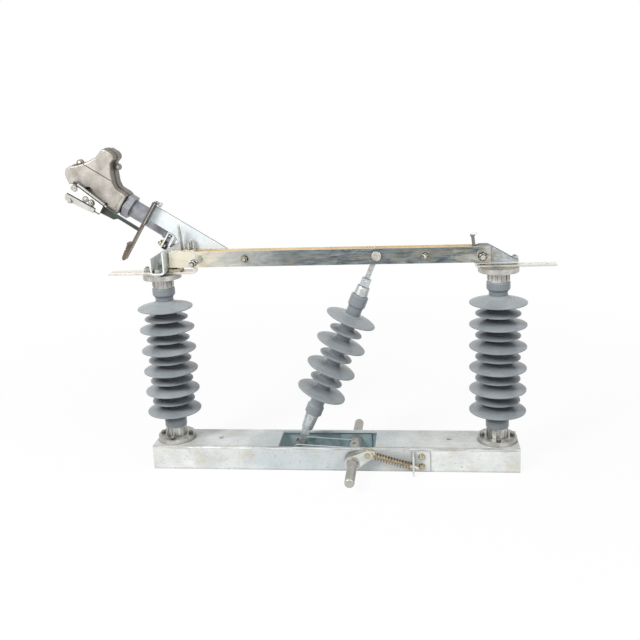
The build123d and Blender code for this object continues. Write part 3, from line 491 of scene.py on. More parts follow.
def blade_bar(name, face, shade, olive, amber, cream):
    """Hard-drawn copper bar, tin plated. It gives blue-grey faces with long rolling lines,
    olive blotches, a painted highlight on the top and bottom edges, amber where the tin has
    turned on the inner faces, and a creamy tone at the contact end that fades out along the
    bar, partly plating and partly painted reflection."""
    tree, shader, where = start(name, 0.75, 0.36)
    along = add(tree, "VectorMath", where, (1 / 70, 1 / 5, 1 / 3.4), operation="MULTIPLY")
    lines = add(tree, "TexNoise", along, Scale=1.6, Detail=5.0, Roughness=0.6)
    drawn = add(tree, "VectorMath", where, (1 / 52, 1 / 18, 1 / 20), operation="MULTIPLY")
    cloud = add(tree, "TexNoise", drawn, Scale=1.0, Detail=8.0, Roughness=0.66, Distortion=1.1)
    both = add(tree, "Math", lines, cloud, operation="ADD")
    body = lay(tree, shade, face, both, (0.78, 1.22))
    blotch = add(tree, "TexNoise", drawn, Scale=1.4, Detail=7.0, W=8.3, noise_dimensions="4D")
    tarnish = add(tree, "MapRange", blotch, From_Min=0.46, From_Max=0.66, To_Max=0.5)
    clouded = add(tree, "Mix", tarnish, body, olive, data_type="RGBA")
    # the bar pales and turns creamy towards both ends, partly plating and partly painted reflection
    spot = add(tree, "SeparateXYZ", where)
    place = ragged(tree, spot.outputs["X"], cloud, 340.0)
    paled = lay(
        tree, clouded, linear("#b9bab6"), place, (-75, -220), 0.8, interpolation_type="SMOOTHSTEP"
    )
    ends = [
        add(
            tree, "MapRange", place, From_Min=near, From_Max=full, To_Max=most,
            interpolation_type="SMOOTHSTEP",
        )
        for near, full, most in ((-200, -330, 1.0), (300, 430, 0.6))
    ]
    either = add(tree, "Math", ends[0], ends[1], operation="MAXIMUM")
    # the cream at the ends: partly plating, partly painted reflection
    tinned = add(tree, "Mix", either, paled, cream, data_type="RGBA")
    # amber creeps in from the contact end in patches
    tip = add(tree, "MapRange", place, From_Min=-250, From_Max=-360)
    turned_tin = add(tree, "Math", tip, tarnish, operation="MULTIPLY")
    straw_end = add(tree, "Mix", turned_tin, tinned, amber, data_type="RGBA")
    # the inner faces, towards the twin blade, stay straw
    off_middle = add(tree, "Math", spot.outputs["Y"], operation="ABSOLUTE")
    lining = add(tree, "Mix", blotch, linear("#e9cf97"), linear("#f1e8cf"), data_type="RGBA")
    lined = lay(tree, straw_end, lining, off_middle, (15.2, 14.8))
    # painted highlight: faces turned up or down are paler, like a lit edge
    form = add(tree, "NewGeometry")
    lift = add(tree, "SeparateXYZ", form.outputs["True Normal"])
    upright = add(tree, "Math", lift.outputs["Z"], operation="ABSOLUTE")
    edge_highlighted = lay(tree, lined, linear("#f8f4e8"), upright, (0.5, 0.9), 0.85)
    # painted shade where the blades meet their spacers and bolts
    paint_corner_shade(tree, shader, edge_highlighted, 6.0, 0.8, "#4a4230")
    texture(tree, shader, lines, 0.12, 0.2, cloud, (0.28, 0.5))


def cut_sheet(
    name, face, patch, edge, metallic=0.5, roughness=0.42, size=26.0, flat=True, reach=5.0
):
    """Sheet, flat bar or block sheared or sawn to shape. It gives wide faces in the colour
    of their treatment with soft cloudy patches, and cut edges in a colour of their own.
    A flat one faces the front, and a folded one shows its edges there."""
    tree, shader, where = start(name, metallic, roughness)
    cloud = add(tree, "TexNoise", where, Scale=1 / size, Detail=6.0, Roughness=0.6)
    body = lay(tree, face, patch, cloud, (0.42, 0.68))
    form = add(tree, "NewGeometry")
    turn = add(tree, "SeparateXYZ", form.outputs["True Normal"])
    broad = add(tree, "Math", turn.outputs["Y"], operation="ABSOLUTE")
    sheared = lay(tree, body, edge, broad, (0.92, 0.6) if flat else (0.5, 0.8), 0.9)
    grit = add(tree, "TexNoise", where, Scale=1 / 2, Detail=3.0)
    # painted shade in corners and folds
    paint_corner_shade(tree, shader, sheared, reach, 0.7)
    texture(tree, shader, grit, 0.12, 0.2, cloud, (roughness - 0.08, roughness + 0.1))


def moulded_plastic(name, light, dark, roughness):
    """Glass-filled resin moulding. It gives an even, slightly mottled satin skin
    with a fine orange-peel grain."""
    tree, shader, where = start(name, 0.0, roughness, ior=1.5)
    cloud = add(tree, "TexNoise", where, Scale=1 / 24, Detail=6.0, Roughness=0.6)
    body = lay(tree, dark, light, cloud, (0.36, 0.64))
    grain = add(tree, "TexNoise", where, Scale=1 / 2, Detail=3.0)
    # painted shade in corners
    paint_corner_shade(tree, shader, body, 8.0, 0.8)
    texture(tree, shader, grain, 0.12, 0.3, cloud, (roughness - 0.06, roughness + 0.08))


# small parts show specks where a long one shows lines
FINE, SMALL, COARSE = ((1 / size,) * 3 for size in (6, 8, 10))

# What each finish is made by, its colours, and what else sets it apart. A colour is a hex
# code, or the name of one that the user can change.
FINISHES = {
    # frosty pale zinc, bluer in the middle and stained where water stood
    "Hot-dip galvanised steel": (galvanised_steel, "zinc zinc_dark water_stain channel_inside", {}),
    # dull grey zinc skin with coarse grit
    "Galvanised round bar": (
        rough_metal, "#bab9b3 #8b8982", {"grit": 1.8, "metallic": 0.55, "cloudy": 0.6},
    ),
    # soft satin grey with pale dust on top
    "Moulded silicone rubber": (silicone_rubber, "silicone silicone_dust", {}),
    # bright grey casting with dark pits and ribs
    "Cast aluminium fitting": (
        rough_metal, "casting casting_dark", {"metallic": 0.85, "cloudy": 0.75},
    ),
    # near-white plating with beige sheared edges
    "Tin-plated copper strap": (
        cut_sheet, "#d6d6d1 #cdbf9c tin", {"metallic": 0.45, "roughness": 0.34, "size": 16.0},
    ),
    # white plating, its front edge blue-grey and straw by turns
    "Bright-tinned copper strap": (
        cut_sheet, "#c6cbce #ddd0a8 #f7f3ea", {"metallic": 0.4, "roughness": 0.36, "size": 34.0},
    ),
    # creamy plating with long lines and amber runs
    "Tin-plated copper contact": (
        plated_metal, "tin_cream tin amber", {"streak": (1 / 30, 1 / 6, 1 / 6), "metallic": 0.75},
    ),
    # blue-grey bar with rolling lines, creamy at its ends
    "Drawn copper blade, tinned": (blade_bar, "blade_face blade_shade straw amber tin_cream", {}),
    # bright cool metal with long rolling lines
    "Bright zinc-plated steel": (plated_metal, "bright_zinc bright_zinc_dark straw", {}),
    # chalky white faces, almost without a sheen, with dark edges
    "White zinc-plated steel": (
        cut_sheet, "#dfe5e8 #c3ccd2 #45423c", {"metallic": 0.35, "roughness": 0.5, "size": 60.0},
    ),
    # plain light grey strip
    "Zinc-plated steel strip": (
        cut_sheet, "#c4c5c1 #aeaca5 #5f5c55", {"metallic": 0.4, "roughness": 0.45},
    ),
    # pale faces and paler edges, which face the front
    "Folded zinc-plated steel": (
        cut_sheet, "#e6eae8 #bec3be #e9eeee", {"roughness": 0.38, "size": 20.0, "flat": False},
    ),
    # the same, with painted shade deep in the box
    "Folded zinc-plated steel box": (
        cut_sheet, "#cdd3d3 #a3a8a3 #e9eeee",
        {"roughness": 0.38, "size": 20.0, "flat": False, "reach": 30.0},
    ),
    # cool blue-grey faces with olive clouds
    "Blue-passivated zinc sheet": (
        cut_sheet, "#b5bfc5 #938e7c #9fa7ad", {"metallic": 0.7, "roughness": 0.36, "size": 18.0},
    ),
    # pale neutral faces with brownish edges
    "Clear-passivated zinc sheet": (
        cut_sheet, "#dcdedb #b8bab5 #8d887d", {"roughness": 0.4, "size": 20.0},
    ),
    # blue-green faces with bright sheared edges
    "Blue-passivated steel bar": (cut_sheet, "channel_inside #66797d #d8dcdb", {"roughness": 0.4}),
    # dark grey-green faces with rubbed edges
    "Olive drab steel bar": (
        cut_sheet, "#454c48 #343a37 #a5a499", {"metallic": 0.4, "roughness": 0.45},
    ),
    # warm brown faces, a little lighter at the edges
    "Browned steel bar": (cut_sheet, "#6e6355 #4a4339 #7f7566", {}),
    # bright metal with grey and brown specks
    "Nickel-plated steel": (
        plated_metal, "#e6e5df #97968f #857a60", {"amount": 0.4, "streak": COARSE, "metallic": 0.9},
    ),
    # mid grey with brown in the corners
    "Dull zinc-plated fastener": (
        plated_metal, "#a9a9a3 #6b6a64 #5b5648", {"streak": SMALL, "metallic": 0.8},
    ),
    # tan and brown wire with dark runs
    "Oil-tempered spring wire": (
        plated_metal, "#b9a68a #75644c #453c32", {"amount": 0.6, "streak": FINE, "metallic": 0.8},
    ),
    # bright straw-tinted rod
    "Cold-drawn bright steel rod": (
        plated_metal, "#fbf3da #cfc19a #8c7f60", {"amount": 0.35, "streak": FINE, "metallic": 0.6},
    ),
    # near-black with a coarse grit
    "Black oxide steel": (rough_metal, "#3a3835 #22211f", {"grit": 2.2, "metallic": 0.5}),
    # pale gold with brown and olive runs
    "Yellow-passivated zinc plate": (
        plated_metal, "gold_zinc gold_zinc_dark straw", {"streak": SMALL, "metallic": 0.8},
    ),
    # even blue-grey satin moulding
    "Moulded grey resin": (moulded_plastic, "#9d9fa5 tube_grey", {"roughness": 0.34}),
    # warm taupe casting, matt and cloudy, with painted shade on its side walls, in its creases and
    # between its halves
    "Die-cast head shell": (
        rough_metal, "head head_dark #6f685f",
        {"grit": 2.6, "metallic": 0.35, "cloudy": 0.8, "reach": 15.0, "corner_shade": 1.0},
    ),
    # white faces, with edges in grey-brown as painted shade that outlines the block
    "Cast white resin": (cut_sheet, "white_block #f3f1ea #6a675f", {"metallic": 0.0}),
    # even white satin moulding
    "Moulded white resin": (moulded_plastic, "white_block #efeee8", {"roughness": 0.4}),
}


def finish(name):
    """The named finish, made the first time a piece asks for it."""
    if name not in bpy.data.materials:
        maker, codes, rest = FINISHES[name]
        own = bpy.context.scene.switch_colours
        shades = (linear(c) if "#" in c else solid(getattr(own, c)) for c in codes.split())
        maker(name, *shades, **rest)
    return bpy.data.materials[name]


# ---- what a user would change
def colour(name, description, code):
    """A colour that a user would change, from its sRGB hex code."""
    return bpy.props.FloatVectorProperty(
        name=name, description=description,
        subtype="COLOR", min=0, max=1, default=linear(code)[:3],
    )


class SwitchColours(bpy.types.PropertyGroup):
    """Colours of the finishes."""

    zinc: colour("Zinc", "Pale galvanised zinc of the base", "#e3e6e4")
    zinc_dark: colour("Zinc patches", "Dark patches and flecks in the zinc", "#a9aaa5")
    water_stain: colour("Water stain", "Warm stains where water stood on the zinc", "#c3b59a")
    channel_inside: colour("Channel inside", "Passivated inner faces of the base", "#9bb0b4")
    silicone: colour("Silicone", "Silicone rubber of the insulator housings", "#7f868b")
    silicone_dust: colour("Silicone dust", "Pale bloom on the upper faces of the sheds", "#c2c8cb")
    casting: colour("Casting", "Cast aluminium of the end fittings", "#d0cfca")
    casting_dark: colour("Casting pits", "Pits and shadows of the castings", "#74736e")
    tin: colour("Tin", "Tin plating of the left strap's faces and of the contact", "#f6f1e7")
    # at the blade ends this cream is partly plating and partly painted reflection
    tin_cream: colour("Cream tin", "Creamy plating at the ends of the blades", "#e0dccc")
    straw: colour("Straw", "Straw and olive tarnish on plated metal", "#97917a")
    amber: colour("Amber", "Turned tin at the contact end of the blades", "#dcbd80")
    blade_face: colour("Blade face", "Brushed face of the blades", "#8e9698")
    blade_shade: colour("Blade shade", "Darker draw marks of the blades", "#454e54")
    bright_zinc: colour("Bright zinc", "Electroplated zinc of the push rod's ends", "#e4e8ea")
    bright_zinc_dark: colour("Bright zinc shade", "Rolling marks in the bright zinc", "#969da2")
    gold_zinc: colour("Gold zinc", "Yellow-passivated zinc of the fasteners", "#dfd3b0")
    gold_zinc_dark: colour("Gold zinc shade", "Brown shade of the gold zinc", "#8d8068")
    tube_grey: colour("Tube grey", "Dark tone of the interrupter's tube and collar", "#7d7e86")
    head: colour("Head", "Warm grey of the interrupter head", "#c1bcb4")
    # the head's shade colour also paints the shade in its creases
    head_dark: colour("Head shade", "Weathered taupe of the interrupter head", "#807970")
    white_block: colour("White block", "White resin of the trip lever's block", "#fbfbf8")


class SwitchSizes(bpy.types.PropertyGroup):
    """Sizes of the fasteners."""

    flange_bolt: bpy.props.FloatProperty(
        name="Flange bolt", description="Thread size of the bolts through the post flanges",
        unit="LENGTH", min=0.006, max=0.016, default=0.012,
    )
    blade_bolt: bpy.props.FloatProperty(
        name="Blade bolt", description="Thread size of the bolts through the blade spacers",
        unit="LENGTH", min=0.005, max=0.012, default=0.010,
    )
    bolt_circle: bpy.props.FloatProperty(
        name="Bolt circle", description="Diameter of the bolt circle in the post flanges",
        unit="LENGTH", min=0.06, max=0.09, default=0.0762,
    )


class SwitchStudio(bpy.types.PropertyGroup):
    """Light and backdrop."""

    floor: colour("Floor", "Colour of the floor", "#fafafa")
    sky: bpy.props.FloatProperty(
        name="Sky", description="Strength of the even light all round", min=0, max=2, default=0.3,
    )
    key: bpy.props.FloatProperty(
        name="Key", description="Power of the large soft lamp on the left",
        unit="POWER", min=0, max=500, default=108.0,
    )
    fill: bpy.props.FloatProperty(
        name="Fill", description="Power of the soft lamp on the right",
        unit="POWER", min=0, max=500, default=36.0,
    )


# ---- pieces
class SWITCH_OT_base(bpy.types.Operator):
    """Finish the base channel, its bearing plates and the operating shaft"""

    bl_idname = "switch.base"
    bl_label = "Base channel"

    def execute(self, context):
        dress("base_channel", "Hot-dip galvanised steel", 0.6)
        dress("bearing_plates", "Hot-dip galvanised steel")
        dress("operating_shaft", "Galvanised round bar")
        return {"FINISHED"}


class SWITCH_OT_posts(bpy.types.Operator):
    """Finish the post insulators and bolt their flanges"""

    bl_idname = "switch.posts"
    bl_label = "Post insulators"

    flange_t, sheet_t = 12, 5  # what each bolt holds together, in millimetres

    def execute(self, context):
        sizes = context.scene.switch_sizes
        size = sizes.flange_bolt / MM
        reach = sizes.bolt_circle / 2
        base_top = high("base_channel").z
        for side in ("left", "right"):
            dress(side + "_post_housing", "Moulded silicone rubber")
            dress(side + "_post_fittings", "Cast aluminium fitting")
            post = centre(side + "_post_fittings")
            bolts = bmesh.new()
            for dx, dy in ((reach, 0), (-reach, 0), (0, reach), (0, -reach)):
                at = Vector((post.x + dx, post.y + dy, base_top))
                end = self.flange_t + size * 0.62
                thread(bolts, facing(at, UP), size * 0.49, 1, end, size * PITCH)
                at.z = base_top - self.sheet_t * MM
                hex_bolt(bolts, facing(at, DOWN, RIGHT), size)
            make_piece(side + "_post_bolts", bolts, DULL)
        return {"FINISHED"}


class SWITCH_OT_jaw(bpy.types.Operator):
    """Finish the jaw, its terminal strap and contact, and bolt them down"""

    bl_idname = "switch.jaw"
    bl_label = "Jaw"

    foot_t, bracket_t, strap_t = 8, 4, 5  # thicknesses under the bolts, in millimetres
    wall_bolt = 8

    def execute(self, context):
        size = context.scene.switch_sizes.flange_bolt / MM
        reach = context.scene.switch_sizes.bolt_circle / 2
        dress("left_terminal_strap", "Tin-plated copper strap", 0.5)
        dress("jaw_bracket", "Folded zinc-plated steel", 0.5)
        dress("contact_foot", YELLOW, 0.6)
        dress("jaw_contact", "Tin-plated copper contact", 0.5)
        dress("arcing_horn", NICKEL, 0.6)
        dress("contact_stop_plate", NICKEL)
        dress("spring_clip", NICKEL)
        post = centre("left_post_fittings")
        strap_top = high("contact_foot").z - self.foot_t * MM
        bolts = bmesh.new()
        # outside the bracket a nut stands on the strap, and inside it two heads on its floor
        spot = facing((post.x - reach, 0, strap_top), UP, (1, 0.5, 0))
        washer(bolts, spot, 9.5, 6.2, 1.6)
        hexagon(bolts, spot, 15.5, 1.6, 9.6, nut=True)
        thread(bolts, spot, 4.6, 8.0, 14.0, M10_PITCH)
        floor = strap_top + self.bracket_t * MM
        for dy in (reach, -reach):
            spot = facing((post.x, dy, floor), UP, (1, 0.3, 0))
            washer(bolts, spot, 9.5, 6.2, 1.8)
            hexagon(bolts, spot, 14.5, 1.8, 8.6)
            thread(bolts, spot, 4.2, 7.0, 11.5, M10_PITCH)
            under = facing((post.x, dy, strap_top - self.strap_t * MM), UP)
            washer(bolts, under, 12, 6.6, self.strap_t)
        wall = high("jaw_bracket").x
        for y in JAW_BOLTS_Y:
            at = Vector((wall, y * MM, JAW_BOLTS_Z * MM))
            hex_bolt(bolts, facing(at, RIGHT), self.wall_bolt)
            at.x = wall - self.wall_bolt * MM
            nut_and_end(bolts, facing(at, LEFT), self.wall_bolt, 2.0)
        make_piece("jaw_bolts", bolts, NICKEL)
        foot = facing((post.x + reach, 0, high("contact_foot").z), UP, RIGHT)
        disc = bmesh.new()
        washer(disc, foot, 11.0, 6.4, 2.6)
        make_piece("contact_foot_washer", disc, BLACK)
        low_head = bmesh.new()
        hexagon(low_head, foot, size * ACROSS_FLATS, 2.6, 4.6)
        make_piece("contact_foot_bolt", low_head, BLACK)
        return {"FINISHED"}


class SWITCH_OT_interrupter(bpy.types.Operator):
    """Finish the load interrupter and fasten its bracket and head"""

    bl_idname = "switch.interrupter"
    bl_label = "Load interrupter"

    # domed head of the screws through the head's lugs
    dome = ((5.6, 0), (5.6, 0.6), (5.2, 2.2), (4.2, 3.3), (2.2, 3.8))

    def execute(self, context):
        dress("interrupter_bracket", "Folded zinc-plated steel box", 0.5)
        dress("interrupter_tube", "Moulded grey resin")
        dress("interrupter_collar", "Moulded grey resin", 0.8)
        dress("interrupter_head_front", "Die-cast head shell")
        dress("interrupter_head_rear", "Die-cast head shell")
        up = tilted(1, 0, 0)
        screws = bmesh.new()
        for s, t in HEAD_SCREWS:
            turned(screws, facing(tilted(s, t, HEAD_FRONT_Y * MM), FRONT), self.dome)
            nut_and_end(screws, facing(tilted(s, t, HEAD_BACK_Y * MM), BACK), 5.5, 1.5)
        make_piece("interrupter_screws", screws, NICKEL)
        # the tube's plate is bolted from inside the box
        bolts = bmesh.new()
        for t in BOX_BOLTS_ACROSS:
            for y in BOX_BOLTS_Y:
                hex_bolt(bolts, facing(tilted(BOX_INSIDE, t, y * MM), -up, (0, 1, 0.3)), 8)
        make_piece("interrupter_box_bolts", bolts, NICKEL)
        ends = bmesh.new()
        for y in BOX_BOLTS_Y:
            at = tilted(BOX_OUTSIDE, BOX_BOLTS_ACROSS[0], y * MM)
            nut_and_end(ends, facing(at, up, (0, 1, 0.2)), 7, 4.0)
        make_piece("interrupter_box_nuts", ends, YELLOW)
        return {"FINISHED"}


class SWITCH_OT_trip_lever(bpy.types.Operator):
    """Finish the trip lever and add its screws"""

    bl_idname = "switch.trip_lever"
    bl_label = "Trip lever"

    def execute(self, context):
        dress("trip_lever_bar", "Olive drab steel bar", 0.7)
        dress("trip_block", "Cast white resin")
        dress("trip_strap", "Zinc-plated steel strip", 1.0)
        dress("trip_pivot_pin", NICKEL)
        block = low("trip_block").y
        strap = low("trip_strap").y
        screws = bmesh.new()
        # these rings are washers wider than the screws' own, in duller zinc, and a dark ring at the
        # nut: painted shade round each screw
        rings = bmesh.new()
        spot = facing(tilted(*BLOCK_SCREW, block), FRONT, (1, 0, 0.4))
        washer(rings, spot, 8.4, 3.2, 0.8)
        washer(screws, spot, 6.4, 3.2, 1.8)
        turned(screws, spot, [(4.6, 0), (4.6, 2.4), (3.4, 3.6), (1.6, 3.9)])
        spot = facing(tilted(*BLOCK_NUT, block), FRONT, (1, 0, 0.1))
        washer(rings, spot, 8.8, 3.2, 1.2)
        hexagon(screws, spot, 11, 1.2, 6.2, nut=True)
        thread(screws, spot, 2.9, 5.0, 9.5, M6_PITCH)
        shade_ring(rings, spot, 3.0, 6.2, 1.4)
        spot = facing(tilted(*STRAP_SCREW, strap), FRONT, (1, 0, 0.4))
        washer(screws, spot, 6.4, 3.2, 1.2)
        hexagon(screws, spot, 10, 1.2, 5.4)
        make_piece("trip_lever_screws", screws, NICKEL, "trip_lever")
        # black bars border the block below and above, painted shade that outlines it, and a bright
        # guide strip lies beyond
        over_strap = facing(tilted(914, 256.4, block), FRONT, tilted(-83, 3, 0))
        below = facing(tilted(907.5, 251, block), FRONT, tilted(-99, 2, 0))
        above = facing(tilted(900, 280, block), FRONT, tilted(-78, -9, 0))
        shade_outline = bmesh.new()
        bar_between(shade_outline, over_strap, (-42, -0.4, -6), (42, 2.0, 0.6))
        bar_between(shade_outline, below, (-50, -2.4, -6), (50, 0.4, 0.6))
        bar_between(shade_outline, above, (-43, -0.4, -6), (43, 1.8, 0.6))
        make_piece("trip_block_shade_outline", shade_outline, BLACK, "trip_lever")
        guide = bmesh.new()
        bar_between(guide, above, (-43, 1.8, -6), (43, 7.0, -0.6))
        make_piece("trip_block_guide", guide, "Zinc-plated steel strip", "trip_lever")
        make_piece("trip_lever_washers_and_shade_rims", rings, DULL, "trip_lever")
        return {"FINISHED"}


class SWITCH_OT_hinge(bpy.types.Operator):
    """Finish the hinge bracket and strap, and add the pivot's washers and nuts"""

    bl_idname = "switch.hinge"
    bl_label = "Hinge"

    bracket_t, pin_end = 4, 12.5  # floor of the bracket, and the pin beyond its nut's seat

    def execute(self, context):
        reach = context.scene.switch_sizes.bolt_circle / 2
        dress("right_terminal_strap", "Bright-tinned copper strap", 0.5)
        dress("hinge_bracket", "Blue-passivated zinc sheet", 0.6)
        dress("hinge_pin", NICKEL)
        dress("blade_stop", DULL)
        post = centre("right_post_fittings")
        floor = low("hinge_bracket").z + self.bracket_t * MM
        pin = centre("hinge_pin")
        bolts = bmesh.new()
        for dx in (reach, -reach):
            spot = facing((post.x + dx, 0, floor), UP, RIGHT)
            hexagon(bolts, spot, 15, 0, 7.0)
            thread(bolts, spot, 4.6, 6.0, 10.5, M10_PITCH)
        washer(bolts, facing((pin.x, low("front_blade").y, pin.z), FRONT), 11.5, 6.2, 2.2)
        pin.y = low("hinge_pin").y + self.pin_end * MM
        nut = facing(pin, FRONT, (1, 0, 0.35))
        hexagon(bolts, nut, 17.0, 1.8, 10.4, nut=True)
        make_piece("hinge_fasteners", bolts, NICKEL)
        # a black washer wider than the nut and a dark ring at its top: painted shade round the nut
        rings = bmesh.new()
        washer(rings, nut, 11.0, 6.2, 1.8)
        shade_ring(rings, nut, 6.1, 10.4, 2.0)
        make_piece("hinge_lock_washer_and_shade_ring", rings, BLACK)
        stop = centre("blade_stop")
        stop.z = high("blade_stop").z
        cap = bmesh.new()
        turned(cap, facing(stop, UP), [(5.5, 0), (8.2, 0.4), (8.6, 1.6), (8.0, 2.6), (4.0, 3.2)])
        make_piece("blade_stop_cap", cap, "Moulded white resin", "frame")
        return {"FINISHED"}


class SWITCH_OT_blade(bpy.types.Operator):
    """Finish the twin blades and what they carry, and add the spacer bolts"""

    bl_idname = "switch.blade"
    bl_label = "Switch blade"

    plate_t, lock_t = 1.4, 1.8  # flat and lock washer of a spacer bolt
    inner_nut, outer_nut = 32, 14  # seats of the pull stud's nuts, behind its tip

    def execute(self, context):
        size = context.scene.switch_sizes.blade_bolt / MM
        dress("front_blade", "Drawn copper blade, tinned", 0.5)
        dress("rear_blade", "Drawn copper blade, tinned", 0.5)
        dress("blade_spacers", YELLOW)
        dress("blade_pin", NICKEL, 1.4)
        dress("pull_stud", NICKEL)
        dress("trip_gusset", "White zinc-plated steel", 1.4)
        dress("trip_bar", "Browned steel bar", 0.7)
        front = low("front_blade").y
        back = high("rear_blade").y
        bolts = bmesh.new()
        rings = bmesh.new()
        plates = bmesh.new()
        for x, z in SPACER_BOLTS:
            seat = facing((x * MM, front, z * MM), FRONT, (1, 0, 0.5))
            washer(plates, seat, size * 1.05, size * 0.5, self.plate_t)
            seat = raised(seat, self.plate_t)
            # the lock washer is black and wider than the nut: a real washer, dark as painted shade
            # round the nut
            washer(rings, seat, size * 0.88, size * 0.5, self.lock_t)
            seat = raised(seat, self.lock_t)
            top = size * 0.72
            hexagon(bolts, seat, size * 1.35, 0, top, nut=True)
            thread(bolts, seat, size * 0.42, 3, top + 5, M8_PITCH)
            shade_ring(rings, seat, size * 0.43, top)
            hex_bolt(bolts, facing((x * MM, back, z * MM), BACK, (1, 0, 0.2)), size)
        stud = centre("pull_stud")
        tip = low("pull_stud").y
        inner = facing((stud.x, tip + self.inner_nut * MM, stud.z), FRONT, (1, 0, 0.4))
        washer(bolts, inner, 8.8, 5.2, 2.0)
        hexagon(bolts, inner, 15.5, 2.0, 9.5, nut=True)
        outer = facing((stud.x, tip + self.outer_nut * MM, stud.z), FRONT, (1, 0, 0.1))
        hexagon(bolts, outer, 15.5, 0, 8.0, nut=True)
        # a black washer under the outer nut, as painted shade round it
        washer(rings, raised(outer, -1.2), 9.2, 5.2, 1.2)
        shade_ring(rings, outer, 5.2, 8.0)
        shade_ring(rings, inner, 5.2, 9.5, 2.2)
        make_piece("blade_bolts", bolts, NICKEL, "blade")
        make_piece("blade_lock_washers_and_shade_rings", rings, BLACK, "blade")
        make_piece("blade_washers", plates, YELLOW, "blade")
        gusset = centre("trip_gusset").y
        bar_end = facing(tilted(*TRIP_BAR_END, gusset), tilted(1, 0, 0), BACK)
        trip_bolt = bmesh.new()
        hexagon(trip_bolt, bar_end, 11.5, 0, 6.5, nut=True)
        thread(trip_bolt, bar_end, 4.0, 5.5, 18.5, M8_PITCH)
        make_piece("trip_bar_bolt", trip_bolt, NICKEL, "blade")
        return {"FINISHED"}


class SWITCH_OT_push_rod(bpy.types.Operator):
    """Finish the insulated push rod between the crank and the blades"""

    bl_idname = "switch.push_rod"
    bl_label = "Push rod"

    def execute(self, context):
        dress("rod_housing", "Moulded silicone rubber")
        dress("rod_upper_end", "Bright zinc-plated steel", 0.8)
        dress("rod_lower_end", "Bright zinc-plated steel", 0.8)
        dress("crank_pin", DULL)
        return {"FINISHED"}


class SWITCH_OT_crank(bpy.types.Operator):
    """Finish the crank and the toggle lever on the operating shaft"""

    bl_idname = "switch.crank"
    bl_label = "Crank"

    ring_back = 3.1  # from a retaining ring's back to the lever, or to the base's rear wall

    def execute(self, context):
        dress("crank_boss", "Galvanised round bar")
        dress("crank_bars", "Blue-passivated steel bar", 0.6)
        dress("toggle_lever", "Clear-passivated zinc sheet", 0.5)
        dress("toggle_pin", YELLOW)
        shaft = centre("operating_shaft")
        radius = (high("operating_shaft").z - low("operating_shaft").z) / 2 / MM
        gap = self.ring_back * MM
        rings = bmesh.new()
        for y in (low("toggle_lever").y - gap, -low("base_channel").y + gap):
            washer(rings, facing((shaft.x, y, shaft.z), BACK), radius + 4.0, radius - 0.6, 1.4)
        make_piece("shaft_rings", rings, NICKEL, "crank")
        lip = centre("crank_boss")
        lip.z = high("crank_boss").z - 0.9 * MM
        screw = bmesh.new()
        turned(screw, facing(lip, UP), [(4.2, 0), (4.2, 1.4), (3.4, 1.5), (3.2, 0.4), (0.4, 0.3)])
        make_piece("boss_set_screw", screw, BLACK, "crank")
        return {"FINISHED"}


class SWITCH_OT_toggle(bpy.types.Operator):
    """Finish the toggle spring, its rod and its bracket, and bolt the bracket on"""

    bl_idname = "switch.toggle"
    bl_label = "Toggle spring"

    foot_t = 4.5  # foot of the bracket, which lies on the base's front wall

    def execute(self, context):
        dress("spring_rod", "Cold-drawn bright steel rod")
        dress("toggle_spring", "Oil-tempered spring wire")
        dress("spring_bracket", "Hot-dip galvanised steel", 0.5)
        foot = low("base_channel").y - self.foot_t * MM
        bolts = bmesh.new()
        for z in SPRING_BRACKET_BOLTS_Z:
            hex_bolt(bolts, facing((SPRING_BRACKET_X * MM, foot, z * MM), FRONT, (1, 0, 0.3)), 8)
        make_piece("spring_bracket_bolts", bolts, YELLOW)
        return {"FINISHED"}


